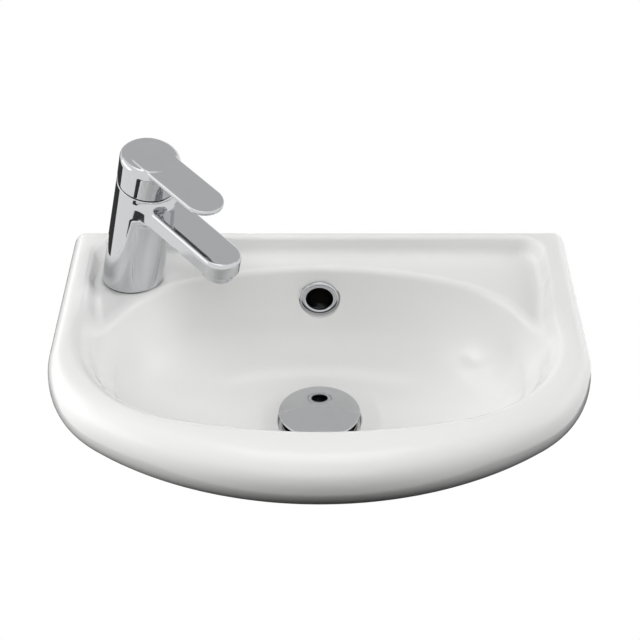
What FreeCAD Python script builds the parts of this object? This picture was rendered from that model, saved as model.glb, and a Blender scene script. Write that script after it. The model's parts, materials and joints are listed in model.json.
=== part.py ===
"""Wall-hung hand basin with a push waste and a leaning single-lever mixer tap.

Frame: millimetres, +X to the user's right, +Y into the wall, +Z up.  The origin is midway between
the two wall fixings, on the wall's face.
"""
import FreeCAD, Part
import Sketcher
import math
import os

# Driving dimensions in millimetres and degrees.  A drop is measured down from the rim's top, a run
# is measured out from the wall, and a level is measured up the tap's leaning axis from its foot.
SIZES = {
    # China: outline and rolled rim
    "basin_width": 400.0,
    "basin_depth": 295.0,
    "rim_height": 85.0,
    "side_run": 152.0,
    "roll_side": 13.0,
    "roll_front": 32.0,
    "roll_drop": 20.0,
    "tuck_side": 22.0,
    "tuck_front": 50.0,
    "tuck_drop": 30.0,
    # China: bowl and deck
    "bowl_rim": 20.0,
    "bowl_rear": 31.0,
    "bowl_front": 251.0,
    "bowl_waist": 133.0,
    "bowl_depth": 95.0,
    "mouth_flare": 3.0,
    "floor_half": 52.0,
    "floor_run": 38.0,
    "waste_run": 123.0,
    "deck_drop": 14.0,
    "deck_back": 8.0,
    "deck_rim": 22.0,
    "deck_inset": 3.0,
    "deck_corner": 20.0,
    "deck_straight": 112.0,
    "deck_thick": 12.0,
    # China: back plate, keel with the overflow channel, hollows under the deck
    "china_wall": 11.0,
    "plate_margin": 30.0,
    "plate_thick": 14.0,
    "plate_drop": 126.0,
    "plate_top_drop": 30.0,
    "plate_corner": 12.0,
    "keel_half": 30.0,
    "boss_radius": 38.0,
    "hollow_rim": 28.0,
    "hollow_wall": 7.5,
    "hollow_bend": 37.0,
    "hollow_front": 92.0,
    "fixing_spacing": 200.0,
    "fixing_radius": 6.0,
    # Overflow
    "overflow_drop": 42.0,
    "overflow_bore": 12.0,
    "overflow_seat_run": 32.0,
    "overflow_seat_play": 0.4,
    "channel_half": 18.0,
    "channel_back": 12.0,
    "channel_deep": 12.0,
    "channel_top_drop": 28.0,
    "channel_high": 10.0,
    "channel_floor": 10.0,
    "ring_radius": 16.0,
    "ring_thick": 3.0,
    "ring_hole": 10.75,
    "ring_sleeve": 7.0,
    "ring_round": 1.5,
    # Push waste
    "waste_bore": 23.0,
    "recess_radius": 32.4,
    "recess_depth": 5.0,
    "flange_radius": 29.5,
    "flange_thick": 2.5,
    "flange_seal_thick": 1.8,
    "tail_radius": 20.95,
    "tail_bore": 18.0,
    "tail_length": 61.5,
    "tail_groove_wide": 2.0,
    "tail_groove_deep": 0.8,
    "slot_wide": 14.0,
    "slot_high": 9.0,
    "bar_half": 4.0,
    "bar_high": 6.0,
    "bar_drop": 44.0,
    "hub_radius": 8.0,
    "stub_radius": 5.0,
    "lower_seal_radius": 33.0,
    "lower_seal_thick": 5.0,
    "backnut_flats": 52.0,
    "backnut_high": 11.0,
    "barrel_radius": 8.0,
    "barrel_bore": 5.6,
    "barrel_top_drop": 8.0,
    "barrel_lid": 2.0,
    "piston_radius": 5.3,
    "piston_high": 4.0,
    "stem_radius": 3.5,
    "stem_screw": 3.0,
    "stem_length": 33.0,
    "spring_wire": 0.5,
    "spring_turns": 5.0,
    "cap_radius": 31.7,
    "cap_crown": 3.3,
    "cap_edge": 1.6,
    "cap_lift": 6.6,
    "cap_lip": 2.2,
    "cap_lip_high": 1.4,
    "cap_plate": 2.0,
    "cap_hub": 7.0,
    "cap_hub_high": 4.0,
    "plug_seal_inner": 18.5,
    "plug_seal_outer": 27.5,
    "plug_seal_thick": 1.8,
    # Tap: place and body
    "tap_inset": 30.0,
    "tap_run": 44.6,
    "tap_turn": 44.7,
    "tap_lean": 15.5,
    "tap_bore": 17.5,
    "gasket_thick": 1.5,
    "gasket_inner": 15.0,
    "gasket_outer": 22.5,
    "body_foot_radius": 23.8,
    "body_top_radius": 22.8,
    "body_top": 101.5,
    "spout_level": 94.0,
    "spout_rise": 3.0,
    "spout_half": 15.2,
    "spout_thick": 14.0,
    "spout_reach": 101.0,
    "spout_edge": 3.0,
    "spout_roof": 4.0,
    "channel_tall": 6.0,
    "channel_wide": 10.0,
    "inlet_across": 8.5,
    "inlet_ahead": 4.0,
    "inlet_radius": 5.0,
    "inlet_depth": 14.0,
    "feed_radius": 3.2,
    "feed_ahead": 1.0,
    "stud_behind": 9.0,
    # Tap: aerator
    "aerator_radius": 12.0,
    "aerator_drop": 6.0,
    "aerator_thread": 10.9,
    "aerator_thread_high": 6.0,
    "aerator_bore": 9.4,
    "aerator_lip": 8.4,
    "aerator_lip_high": 1.0,
    "insert_high": 8.0,
    "insert_hole": 0.9,
    "insert_pitch": 2.6,
    "washer_inner": 7.0,
    "washer_thick": 1.0,
    # Tap: ceramic cartridge
    "cartridge_radius": 17.4,
    "seat_level": 64.4,
    "port_seal_thick": 1.6,
    "port_seal_wide": 1.8,
    "base_high": 4.0,
    "outlet_ahead": 9.5,
    "fixed_disc_radius": 14.0,
    "fixed_disc_high": 3.5,
    "moving_disc_radius": 9.6,
    "moving_disc_high": 5.0,
    "socket_radius": 2.8,
    "socket_deep": 4.2,
    "housing_bore": 15.9,
    "housing_shoulder": 91.9,
    "housing_neck": 13.2,
    "housing_neck_bore": 11.0,
    "housing_top": 102.0,
    "housing_roof": 3.9,
    "pivot_level": 96.0,
    "pin_radius": 2.0,
    "pin_length": 20.0,
    "spindle_half": 4.0,
    "spindle_top": 121.5,
    "spindle_foot": 81.0,
    "finger_radius": 1.9,
    "ball_radius": 2.4,
    "ball_level": 77.0,
    "nut_radius": 19.3,
    "nut_bore": 13.4,
    "shroud_radius": 19.9,
    "shroud_wall": 1.0,
    "shroud_top": 109.2,
    # Tap: handle
    "collar_radius": 22.8,
    "collar_bore": 20.5,
    "collar_gap": 1.2,
    "collar_round": 4.0,
    "lift_angle": 18.0,
    "lever_level": 127.5,
    "lever_rise": 3.5,
    "lever_half": 15.0,
    "lever_reach": 74.0,
    "lever_thick": 3.6,
    "handle_roof": 5.0,
    "boss_round_radius": 7.5,
    "boss_foot": 107.0,
    "grub_radius": 2.4,
    "grub_length": 4.4,
    "grub_level": 115.0,
    # Tap: fixing under the deck
    "stud_radius": 4.0,
    "stud_grip": 12.0,
    "stud_tail": 50.0,
    "clamp_radius": 20.5,
    "clamp_slot_half": 14.0,
    "clamp_slot_ahead": 2.0,
    "clamp_gasket_thick": 3.0,
    "clamp_plate_thick": 2.5,
    "stud_nut_flats": 13.0,
    "stud_nut_high": 12.0,
    # Clearances and overruns
    "running_gap": 0.05,
    "thread_gap": 0.1,
    "seat_gap": 0.2,
    "swing_gap": 0.4,
    "overrun": 2.0,
}

# Shares of a nose's reach taken by its corner arcs
FRONT_CORNER_SHARE = 0.78
BOWL_CORNER_SHARE = 0.92
REAR_CORNER_SHARE = 0.8
# Bowl sections: share of the depth, then how far half-width, rear and front still are from the floor's
BOWL_SHARES = (
    (0.15, 0.912, 0.99, 0.955),
    (0.47, 0.816, 0.965, 0.83),
    (0.76, 0.66, 0.77, 0.585),
    (0.93, 0.35, 0.36, 0.19),
    (1.0, 0.0, 0.0, 0.0),
)
# Holes in each ring of the aerator's insert
INSERT_RINGS = (1, 6, 12, 18)
ROLL_STEPS = (0.0, 30.0, 60.0, 90.0)
TUCK_STEPS = (30.0, 60.0, 90.0)
FULL_TURN = 360.0
RIGHT_ANGLE = 90.0
CUTTERS = ("PartDesign::Pocket", "PartDesign::Groove", "PartDesign::SubtractiveLoft")

doc = FreeCAD.newDocument("hand_basin")
sheet = doc.addObject("Spreadsheet::Sheet", "Sizes")
Z_AXIS = FreeCAD.Vector(0, 0, 1)
Y_AXIS = FreeCAD.Vector(0, 1, 0)
X_AXIS = FreeCAD.Vector(1, 0, 0)


class Size:
    """A length that carries its value and the spreadsheet expression that gives it."""

    def __init__(self, value, text):
        self.value = value
        self.text = text

    def join(self, sign, other, value):
        return Size(value, f"({self.text} {sign} {as_size(other).text})")

    def __add__(self, other):
        return self.join("+", other, self.value + as_size(other).value)

    def __sub__(self, other):
        return self.join("-", other, self.value - as_size(other).value)

    def __mul__(self, other):
        return self.join("*", other, self.value * as_size(other).value)

    def __truediv__(self, other):
        return self.join("/", other, self.value / as_size(other).value)

    def __neg__(self):
        return Size(-self.value, f"(-1 * {self.text})")


def as_size(number):
    """A plain number, such as a share or a count, as a Size."""
    return number if isinstance(number, Size) else Size(float(number), repr(float(number)))


class SizeTable:
    """Reads the spreadsheet's cells by alias, as Sizes."""

    def __getattr__(self, alias):
        return Size(float(sheet.get(alias)), f"Sizes.{alias}")


def root(size):
    return Size(math.sqrt(size.value), f"sqrt({size.text})")


def tangent(angle):
    return Size(math.tan(math.radians(angle.value)), f"tan({angle.text} * 1 deg)")


def cosine(angle):
    return Size(math.cos(math.radians(angle.value)), f"cos({angle.text} * 1 deg)")


def sine(angle):
    return Size(math.sin(math.radians(angle.value)), f"sin({angle.text} * 1 deg)")


def between(start, end, share):
    return start + (end - start) * share


def fill_sheet():
    for row, (alias, value) in enumerate(SIZES.items(), start=1):
        sheet.set(f"A{row}", alias)
        sheet.set(f"B{row}", str(value))
        sheet.setAlias(f"B{row}", alias)
    doc.recompute()


fill_sheet()
size = SizeTable()
ZERO = as_size(0.0)
parts = []


# Sketch and feature helpers

def new_body(name, placement=None):
    body = doc.addObject("PartDesign::Body", name)
    body.Label = name
    body.Placement = placement or FreeCAD.Placement()
    parts.append(body)
    return body


def new_sketch(body, role, offset=None, lean=None):
    """A sketch on one of the body's own planes, moved along its normal and leant about its Y."""
    sketch = body.newObject("Sketcher::SketchObject", f"{body.Label}_sketch")
    plane = [item for item in body.Origin.OriginFeatures if item.Role == role]
    sketch.AttachmentSupport = [(plane[0], "")]
    sketch.MapMode = "FlatFace"
    turn = FreeCAD.Rotation(-Y_AXIS, lean.value if lean else 0)
    sketch.AttachmentOffset = FreeCAD.Placement(Z_AXIS * (offset.value if offset else 0), turn)
    if offset:
        sketch.setExpression("AttachmentOffset.Base.z", offset.text)
    if lean:
        sketch.setExpression("AttachmentOffset.Rotation.Angle", lean.text)
    return sketch


def bind(sketch, constraint, text):
    index = sketch.addConstraint(constraint)
    sketch.setExpression(f"Constraints[{index}]", text)


def pin_point(sketch, geometry, position, x, y):
    """Hold a point at bound coordinates; a zero coordinate lies on the sketch's axis."""
    for kind, coordinate, axis in (("DistanceX", x, -2), ("DistanceY", y, -1)):
        if coordinate is ZERO:
            sketch.addConstraint(Sketcher.Constraint("PointOnObject", geometry, position, axis))
        else:
            held = Sketcher.Constraint(kind, -1, 1, geometry, position, coordinate.value)
            bind(sketch, held, coordinate.text)


def arc_between(start, end, radius):
    """The shorter arc from start to end that turns left."""
    chord = end - start
    half = chord.Length / 2
    normal = FreeCAD.Vector(-chord.y, chord.x, 0).normalize()
    centre = (start + end) / 2 + normal * math.sqrt(max(radius * radius - half * half, 0))
    angles = [math.atan2(point.y - centre.y, point.x - centre.x) for point in (start, end)]
    return Part.ArcOfCircle(Part.Circle(centre, Z_AXIS, radius), *angles)


def draw(sketch, path):
    """A closed outline; each vertex is (x, y), or (x, y, radius) where an arc leaves it.

    The outline runs anticlockwise.  An arc bulges outwards, or inwards where its radius is negative.
    """
    points = [FreeCAD.Vector(vertex[0].value, vertex[1].value, 0) for vertex in path]
    first = sketch.GeometryCount
    count = len(path)
    ends = []
    for index, vertex in enumerate(path):
        start, end = points[index], points[(index + 1) % count]
        radius = vertex[2].value if len(vertex) == 3 else 0
        if radius > 0:
            sketch.addGeometry(arc_between(start, end, radius), False)
        elif radius < 0:
            sketch.addGeometry(arc_between(end, start, -radius), False)
        else:
            sketch.addGeometry(Part.LineSegment(start, end), False)
        ends.append((2, 1) if radius < 0 else (1, 2))
    for index, vertex in enumerate(path):
        edge = first + index
        before = first + (index - 1) % count
        start_of_edge = ends[index][0]
        joint = Sketcher.Constraint("Coincident", before, ends[index - 1][1], edge, start_of_edge)
        sketch.addConstraint(joint)
        pin_point(sketch, edge, start_of_edge, vertex[0], vertex[1])
        if len(vertex) == 3:
            radius = vertex[2] if vertex[2].value > 0 else -vertex[2]
            bind(sketch, Sketcher.Constraint("Radius", edge, radius.value), radius.text)


def circle(sketch, x, y, radius):
    centre = FreeCAD.Vector(x.value, y.value, 0)
    edge = sketch.addGeometry(Part.Circle(centre, Z_AXIS, radius.value), False)
    pin_point(sketch, edge, 3, x, y)
    bind(sketch, Sketcher.Constraint("Radius", edge, radius.value), radius.text)


def rectangle(left, right, low, high):
    return [(left, low), (right, low), (right, high), (left, high)]


def ring_profile(inner, outer, low, high):
    """A ring's section of that height, standing on the level given first."""
    return rectangle(inner, outer, low, low + high)


def extrude(body, kind, sketch, length, reverse=False, both_sides=False):
    feature = body.newObject(f"PartDesign::{kind}", f"{body.Label}_{kind.lower()}")
    feature.Profile = sketch
    feature.setExpression("Length", length.text)
    feature.Reversed = reverse
    if both_sides:
        feature.SideType = "Symmetric"
    doc.recompute()
    return feature


def pad(body, sketch, length, **options):
    return extrude(body, "Pad", sketch, length, **options)


def pocket(body, sketch, length, **options):
    return extrude(body, "Pocket", sketch, length, **options)


def revolve(body, kind, profile):
    """Turn a closed profile of (radius, level) about the body's Z axis."""
    sketch = new_sketch(body, "XZ_Plane")
    draw(sketch, profile)
    feature = body.newObject(f"PartDesign::{kind}", f"{body.Label}_{kind.lower()}")
    feature.Profile = sketch
    feature.ReferenceAxis = (sketch, ["V_Axis"])
    feature.Angle = FULL_TURN
    doc.recompute()
    return feature


def turned(name, profile, placement):
    body = new_body(name, placement)
    revolve(body, "Revolution", profile)
    return body


def loft(body, kind, sketches):
    feature = body.newObject(f"PartDesign::{kind}", f"{body.Label}_{kind.lower()}")
    feature.Profile = sketches[0]
    feature.Sections = sketches[1:]
    doc.recompute()
    return feature


def fillet(body, radius, wanted):
    """Round the edges of the body's tip that the test picks out."""
    base = body.Tip
    edges = base.Shape.Edges
    names = [f"Edge{index}" for index, edge in enumerate(edges, start=1) if wanted(edge)]
    if not names:
        raise RuntimeError(f"no edge to round on {body.Label}")
    feature = body.newObject("PartDesign::Fillet", f"{body.Label}_fillet")
    feature.Base = (base, names)
    feature.setExpression("Radius", radius.text)
    doc.recompute()
    return feature


def round_hole(body, x, y, radius, start, depth, up=False):
    sketch = new_sketch(body, "XY_Plane", offset=start)
    circle(sketch, x, y, radius)
    return pocket(body, sketch, depth, reverse=up)


def hexagon(flats):
    """A hexagon's corners about the origin, with two flats across X."""
    side = flats / root(as_size(3.0))
    half = flats / 2
    right = [(half, -side / 2), (half, side / 2), (ZERO, side)]
    return right + [(-half, side / 2), (-half, -side / 2), (ZERO, -side)]


# The basin

def at_drop(drop):
    return size.rim_height - drop


def basin_half():
    return size.basin_width / 2


def bowl_half():
    return basin_half() - size.bowl_rim


def deck_half():
    return basin_half() - size.deck_rim


def tap_offset():
    """How far the tap stands from the middle, in the deck's left corner."""
    return deck_half() - size.tap_inset


def nose(half, reach, share):
    """Corner radius, far arc's radius and their meeting point, for a nose of that half-width and reach."""
    corner = reach * share
    inner = half - corner
    far = (inner * inner + reach * reach - corner * corner) / ((reach - corner) * 2)
    ratio = far / (far - corner)
    return corner, far, inner * ratio, (far - reach) * (ratio - 1)


def wall_outline(half, depth, run):
    """A D against the wall: straight sides for that run, then a rounded front."""
    corner, far, x, y = nose(half, depth - run, FRONT_CORNER_SHARE)
    back = size.overrun
    return [
        (half, back),
        (-half, back),
        (-half, -run, corner),
        (-x, -(run + y), far),
        (x, -(run + y), corner),
        (half, -run),
    ]


def bowl_outline(half, rear, front, waist):
    """An oval whose widest line is at the waist: a flatter rear and a fuller front."""
    front_corner, front_far, front_x, front_y = nose(half, front - waist, BOWL_CORNER_SHARE)
    rear_corner, rear_far, rear_x, rear_y = nose(half, waist - rear, REAR_CORNER_SHARE)
    return [
        (rear_x, -(waist - rear_y), rear_far),
        (-rear_x, -(waist - rear_y), rear_corner),
        (-half, -waist, front_corner),
        (-front_x, -(waist + front_y), front_far),
        (front_x, -(waist + front_y), front_corner),
        (half, -waist, rear_corner),
    ]


def rim_sections():
    """Outside of the rim from its flat top, round the roll, to where it tucks under."""
    half = basin_half()
    sections = []
    for angle in ROLL_STEPS:
        inset_share = 1 - math.sin(math.radians(angle))
        drop_share = 1 - math.cos(math.radians(angle))
        sections.append((
            size.roll_drop * drop_share,
            half - size.roll_side * inset_share,
            size.basin_depth - size.roll_front * inset_share,
            size.side_run,
        ))
    for angle in TUCK_STEPS:
        inset_share = 1 - math.cos(math.radians(angle))
        drop_share = math.sin(math.radians(angle))
        sections.append((
            size.roll_drop + size.tuck_drop * drop_share,
            half - size.tuck_side * inset_share,
            size.basin_depth - size.tuck_front * inset_share,
            size.side_run,
        ))
    return sections


def bowl_sections(wall=ZERO):
    """The bowl from below the rim to its floor, grown by a wall for its outer skin."""
    floor_rear = size.waste_run - size.floor_run
    floor_front = size.waste_run + size.floor_run
    sections = []
    for depth_share, half_share, rear_share, front_share in BOWL_SHARES:
        sections.append((
            (size.bowl_depth + wall) * depth_share,
            between(size.floor_half, bowl_half(), half_share) + wall,
            between(floor_rear, size.bowl_rear, rear_share) - wall,
            between(floor_front, size.bowl_front, front_share) + wall,
            between(size.bowl_waist, size.waste_run, depth_share),
        ))
    return sections


def bowl_mouth():
    """The bowl's section at the rim's top, and a wider one above it, so that its cut breaks through."""
    flare = size.mouth_flare
    return [
        (-size.overrun, bowl_half() + flare, size.bowl_rear, size.bowl_front + flare, size.bowl_waist),
        (ZERO, bowl_half(), size.bowl_rear, size.bowl_front, size.bowl_waist),
    ]


def outline_sketches(body, sections, outline):
    sketches = []
    for drop, *measures in sections:
        sketch = new_sketch(body, "XY_Plane", offset=at_drop(drop))
        draw(sketch, outline(*measures))
        sketches.append(sketch)
    doc.recompute()
    return sketches


def add_back(body):
    """Back plate for the fixings, keel round the overflow channel, boss round the waste."""
    low = at_drop(size.plate_drop)
    corner = size.plate_corner
    half = size.fixing_spacing / 2 + size.plate_margin
    plate = new_sketch(body, "XZ_Plane")
    draw(plate, [
        (-(half - corner), low),
        (half - corner, low, corner),
        (half, low + corner),
        (half, at_drop(size.plate_top_drop)),
        (-half, at_drop(size.plate_top_drop)),
        (-half, low + corner, corner),
    ])
    pad(body, plate, size.plate_thick)
    keel = new_sketch(body, "YZ_Plane")
    draw(keel, [
        (-size.waste_run, low),
        (ZERO, low),
        (ZERO, at_drop(size.plate_top_drop)),
        (-size.bowl_rear, at_drop(size.plate_top_drop)),
        (-size.waste_run, at_drop(size.bowl_depth)),
    ])
    pad(body, keel, size.keel_half * 2, both_sides=True)
    boss = new_sketch(body, "XY_Plane", offset=low)
    circle(boss, ZERO, -size.waste_run, size.boss_radius)
    pad(body, boss, size.plate_drop - size.bowl_depth)


def trim_at_wall(body):
    half = basin_half() + size.overrun
    low = at_drop(size.plate_drop) - size.overrun
    sketch = new_sketch(body, "XZ_Plane")
    draw(sketch, rectangle(-half, half, low, size.rim_height + size.overrun))
    pocket(body, sketch, size.overrun * 2)


def cut_deck(body):
    """Sunken deck behind the bowl; a tongue of it tapers into the bowl on each side."""
    corner = size.deck_corner
    half = deck_half()
    _, bowl_edge, _, _, waist = bowl_sections()[0]
    mouth = bowl_edge - size.deck_inset
    back = size.deck_back
    deck = new_sketch(body, "XY_Plane", offset=size.rim_height + size.overrun)
    draw(deck, [
        (half - corner, -back),
        (-(half - corner), -back, corner),
        (-half, -(back + corner)),
        (-half, -size.deck_straight),
        (-mouth, -waist),
        (mouth, -waist),
        (half, -size.deck_straight),
        (half, -(back + corner), corner),
    ])
    pocket(body, deck, size.deck_drop + size.overrun)


def cut_hollows(body):
    """Open hollows under the two deck corners, bounded by the bowl's outer wall."""
    _, half, rear, _, waist = bowl_sections()[0]
    corner, far, x, y = nose(half, waist - rear, REAR_CORNER_SHARE)
    outer = far + size.hollow_wall
    centre = rear + far

    def run_at(across):
        return centre - root(outer * outer - across * across)

    low = at_drop(size.plate_drop) - size.overrun
    sketch = new_sketch(body, "XY_Plane", offset=low)
    inner = size.keel_half
    side = basin_half() - size.hollow_rim
    bend = side - size.hollow_bend
    back = size.plate_thick
    draw(sketch, [
        (bend, -run_at(bend), outer),
        (inner, -run_at(inner)),
        (inner, -back),
        (side, -back),
        (side, -size.hollow_front),
    ])
    draw(sketch, [
        (-inner, -run_at(inner), outer),
        (-bend, -run_at(bend)),
        (-side, -size.hollow_front),
        (-side, -back),
        (-inner, -back),
    ])
    high = at_drop(size.deck_drop + size.deck_thick)
    pocket(body, sketch, high - low, reverse=True)


def cut_overflow(body):
    """Hole and seat in the bowl's rear wall, then a channel down and forward to the waste hole."""
    front = size.channel_back + size.channel_deep
    floor = at_drop(size.plate_drop - size.channel_floor)
    shaft = new_sketch(body, "XY_Plane", offset=floor)
    draw(shaft, rectangle(-size.channel_half, size.channel_half, -front, -size.channel_back))
    pocket(body, shaft, at_drop(size.channel_top_drop) - floor, reverse=True)
    duct = new_sketch(body, "XY_Plane", offset=floor)
    draw(duct, rectangle(-size.channel_half, size.channel_half, -size.waste_run, -size.channel_back))
    pocket(body, duct, size.channel_high, reverse=True)
    middle = at_drop(size.overflow_drop)
    hole = new_sketch(body, "XZ_Plane", offset=size.channel_back)
    circle(hole, ZERO, middle, size.overflow_bore)
    pocket(body, hole, size.waste_run - size.channel_back, reverse=True)
    seat = new_sketch(body, "XZ_Plane", offset=size.overflow_seat_run)
    circle(seat, ZERO, middle, size.ring_radius + size.overflow_seat_play)
    pocket(body, seat, size.waste_run - size.overflow_seat_run, reverse=True)


def cut_holes(body):
    """Waste hole with its recess, tap hole and wall fixings."""
    floor = at_drop(size.bowl_depth)
    round_hole(body, ZERO, -size.waste_run, size.waste_bore, floor, size.plate_drop)
    round_hole(body, ZERO, -size.waste_run, size.recess_radius, floor, size.recess_depth)
    deck = at_drop(size.deck_drop)
    through = size.deck_thick + size.overrun
    round_hole(body, -tap_offset(), -size.tap_run, size.tap_bore, deck, through)
    fixings = new_sketch(body, "XZ_Plane")
    for across in (size.fixing_spacing / 2, -(size.fixing_spacing / 2)):
        circle(fixings, across, ZERO, size.fixing_radius)
    pocket(body, fixings, size.plate_thick + size.overrun, reverse=True)


def make_basin():
    body = new_body("basin")
    loft(body, "AdditiveLoft", outline_sketches(body, rim_sections(), wall_outline))
    skin = bowl_sections(size.china_wall)
    loft(body, "AdditiveLoft", outline_sketches(body, skin, bowl_outline))
    add_back(body)
    trim_at_wall(body)
    inside = [*bowl_mouth(), *bowl_sections()]
    loft(body, "SubtractiveLoft", outline_sketches(body, inside, bowl_outline))
    cut_deck(body)
    cut_hollows(body)
    cut_overflow(body)
    cut_holes(body)


# Push waste; its levels are measured from the bowl's floor at the waste's centre

def waste_place():
    return FreeCAD.Placement(
        FreeCAD.Vector(0, -size.waste_run.value, at_drop(size.bowl_depth).value), FreeCAD.Rotation())


def boss_foot_level():
    return -(size.plate_drop - size.bowl_depth)


def backnut_foot():
    return boss_foot_level() - size.lower_seal_thick - size.backnut_high


def flange_top():
    return size.flange_thick + size.flange_seal_thick - size.recess_depth


def make_overflow_ring():
    """Chrome ring: rounded flange on the china's seat, sleeve in the hole."""
    sleeve = size.overflow_bore - size.thread_gap
    rounding = size.ring_round
    place = FreeCAD.Placement(
        FreeCAD.Vector(0, -size.overflow_seat_run.value, at_drop(size.overflow_drop).value),
        FreeCAD.Rotation(X_AXIS, RIGHT_ANGLE))
    turned("overflow_ring", [
        (size.ring_hole, -size.ring_sleeve),
        (sleeve, -size.ring_sleeve),
        (sleeve, ZERO),
        (size.ring_radius, ZERO),
        (size.ring_radius, size.ring_thick - rounding, rounding),
        (size.ring_radius - rounding, size.ring_thick),
        (size.ring_hole, size.ring_thick),
    ], place)


def make_waste_body():
    """Flanged tube with overflow slots, a crossbar for the click barrel and a groove below its thread."""
    top = flange_top()
    low = top - size.tail_length
    groove = size.tail_radius - size.tail_groove_deep
    groove_low = backnut_foot() - size.tail_groove_wide
    body = turned("waste_body", [
        (size.tail_bore, low),
        (size.tail_radius, low),
        (size.tail_radius, groove_low),
        (groove, groove_low),
        (groove, backnut_foot()),
        (size.tail_radius, backnut_foot()),
        (size.tail_radius, top - size.flange_thick),
        (size.flange_radius, top - size.flange_thick),
        (size.flange_radius, top),
        (size.tail_radius, top),
        (size.tail_bore, top - size.flange_thick),
    ], waste_place())
    bar = new_sketch(body, "XY_Plane", offset=-(size.bar_drop + size.bar_high))
    wall_middle = (size.tail_bore + size.tail_radius) / 2
    draw(bar, rectangle(-wall_middle, wall_middle, -size.bar_half, size.bar_half))
    pad(body, bar, size.bar_high)
    hub = new_sketch(body, "XY_Plane", offset=-(size.bar_drop + size.bar_high))
    circle(hub, ZERO, ZERO, size.hub_radius)
    pad(body, hub, size.bar_high)
    screw = size.stub_radius + size.thread_gap
    round_hole(body, ZERO, ZERO, screw, -size.bar_drop + size.overrun, size.bar_high + size.overrun * 2)
    slot_low = boss_foot_level() + size.channel_floor
    slot = new_sketch(body, "XZ_Plane")
    draw(slot, rectangle(-size.slot_wide / 2, size.slot_wide / 2, slot_low, slot_low + size.slot_high))
    pocket(body, slot, size.flange_radius * 2, both_sides=True)


def make_waste_seals():
    bore = size.tail_radius + size.thread_gap
    flat = ring_profile(bore, size.flange_radius, -size.recess_depth, size.flange_seal_thick)
    turned("waste_flange_seal", flat, waste_place())
    low = boss_foot_level() - size.lower_seal_thick
    turned("waste_lower_seal", [
        (bore, low),
        (size.lower_seal_radius, low),
        (size.lower_seal_radius, low + size.lower_seal_thick / 2),
        (size.waste_bore, boss_foot_level()),
        (bore, boss_foot_level()),
    ], waste_place())


def make_waste_backnut():
    body = new_body("waste_backnut", waste_place())
    nut = new_sketch(body, "XY_Plane", offset=backnut_foot())
    draw(nut, hexagon(size.backnut_flats))
    circle(nut, ZERO, ZERO, size.tail_radius + size.thread_gap)
    pad(body, nut, size.backnut_high)


def make_click_housing():
    """Barrel that stands on the crossbar: a screwed stub below, a lid with the stem's hole above."""
    top = -size.barrel_top_drop
    turned("click_housing", [
        (ZERO, -(size.bar_drop + size.bar_high)),
        (size.stub_radius, -(size.bar_drop + size.bar_high)),
        (size.stub_radius, -size.bar_drop),
        (size.barrel_radius, -size.bar_drop),
        (size.barrel_radius, top),
        (size.stem_radius + size.running_gap, top),
        (size.stem_radius + size.running_gap, top - size.barrel_lid),
        (size.barrel_bore, top - size.barrel_lid),
        (size.barrel_bore, barrel_floor()),
        (ZERO, barrel_floor()),
    ], waste_place())


def barrel_floor():
    return size.barrel_lid - size.bar_drop


def cap_underside():
    return size.cap_lift + size.cap_lip_high


def stem_foot():
    return cap_underside() - size.cap_hub_high - size.stem_length


def make_plug():
    """Mushroom cap with its hub, its flat seal, and the stem with the piston that rides in the barrel."""
    under = cap_underside()
    edge = size.cap_lift + size.cap_edge
    chord = size.cap_radius
    dome = (chord * chord + size.cap_crown * size.cap_crown) / (size.cap_crown * 2)
    hub_foot = under - size.cap_hub_high
    turned("plug_cap", [
        (ZERO, hub_foot + size.cap_plate),
        (size.stem_screw + size.thread_gap, hub_foot + size.cap_plate),
        (size.stem_screw + size.thread_gap, hub_foot),
        (size.cap_hub, hub_foot),
        (size.cap_hub, under),
        (size.cap_radius - size.cap_lip, under),
        (size.cap_radius - size.cap_lip, size.cap_lift),
        (size.cap_radius, size.cap_lift),
        (size.cap_radius, edge, dome),
        (ZERO, edge + size.cap_crown),
    ], waste_place())
    inner, outer, thick = size.plug_seal_inner, size.plug_seal_outer, size.plug_seal_thick
    turned("plug_seal", ring_profile(inner, outer, under - thick, thick), waste_place())
    foot = stem_foot()
    piston_top = foot + size.piston_high
    turned("plug_stem", [
        (ZERO, foot),
        (size.piston_radius, foot),
        (size.piston_radius, piston_top),
        (size.stem_radius, piston_top),
        (size.stem_radius, hub_foot),
        (size.stem_screw, hub_foot),
        (size.stem_screw, hub_foot + size.cap_plate),
        (ZERO, hub_foot + size.cap_plate),
    ], waste_place())


def make_click_spring():
    body = new_body("click_spring", waste_place())
    wire = size.spring_wire
    low = barrel_floor() + wire + size.seat_gap
    rise = stem_foot() - wire - size.seat_gap - low
    sketch = new_sketch(body, "XZ_Plane")
    circle(sketch, size.barrel_bore - wire * 3, low, wire)
    coil = body.newObject("PartDesign::AdditiveHelix", "click_spring_coil")
    coil.Profile = sketch
    coil.ReferenceAxis = (sketch, ["V_Axis"])
    coil.Mode = "height-turns-angle"
    coil.setExpression("Height", rise.text)
    coil.setExpression("Turns", size.spring_turns.text)
    doc.recompute()


# Tap; its own frame has Z up the leaning axis, X towards the spout, its origin at the foot's centre

def tap_foot():
    level = at_drop(size.deck_drop) + size.gasket_thick
    return FreeCAD.Vector(-tap_offset().value, -size.tap_run.value, level.value)


def level_place():
    """Upright at the tap's foot, turned to the spout."""
    return FreeCAD.Placement(tap_foot(), FreeCAD.Rotation(Z_AXIS, size.tap_turn.value - RIGHT_ANGLE))


def tap_place():
    lean = FreeCAD.Placement(FreeCAD.Vector(), FreeCAD.Rotation(Y_AXIS, size.tap_lean.value))
    return level_place() * lean


def aerator_run():
    return size.spout_reach - size.spout_half


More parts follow.
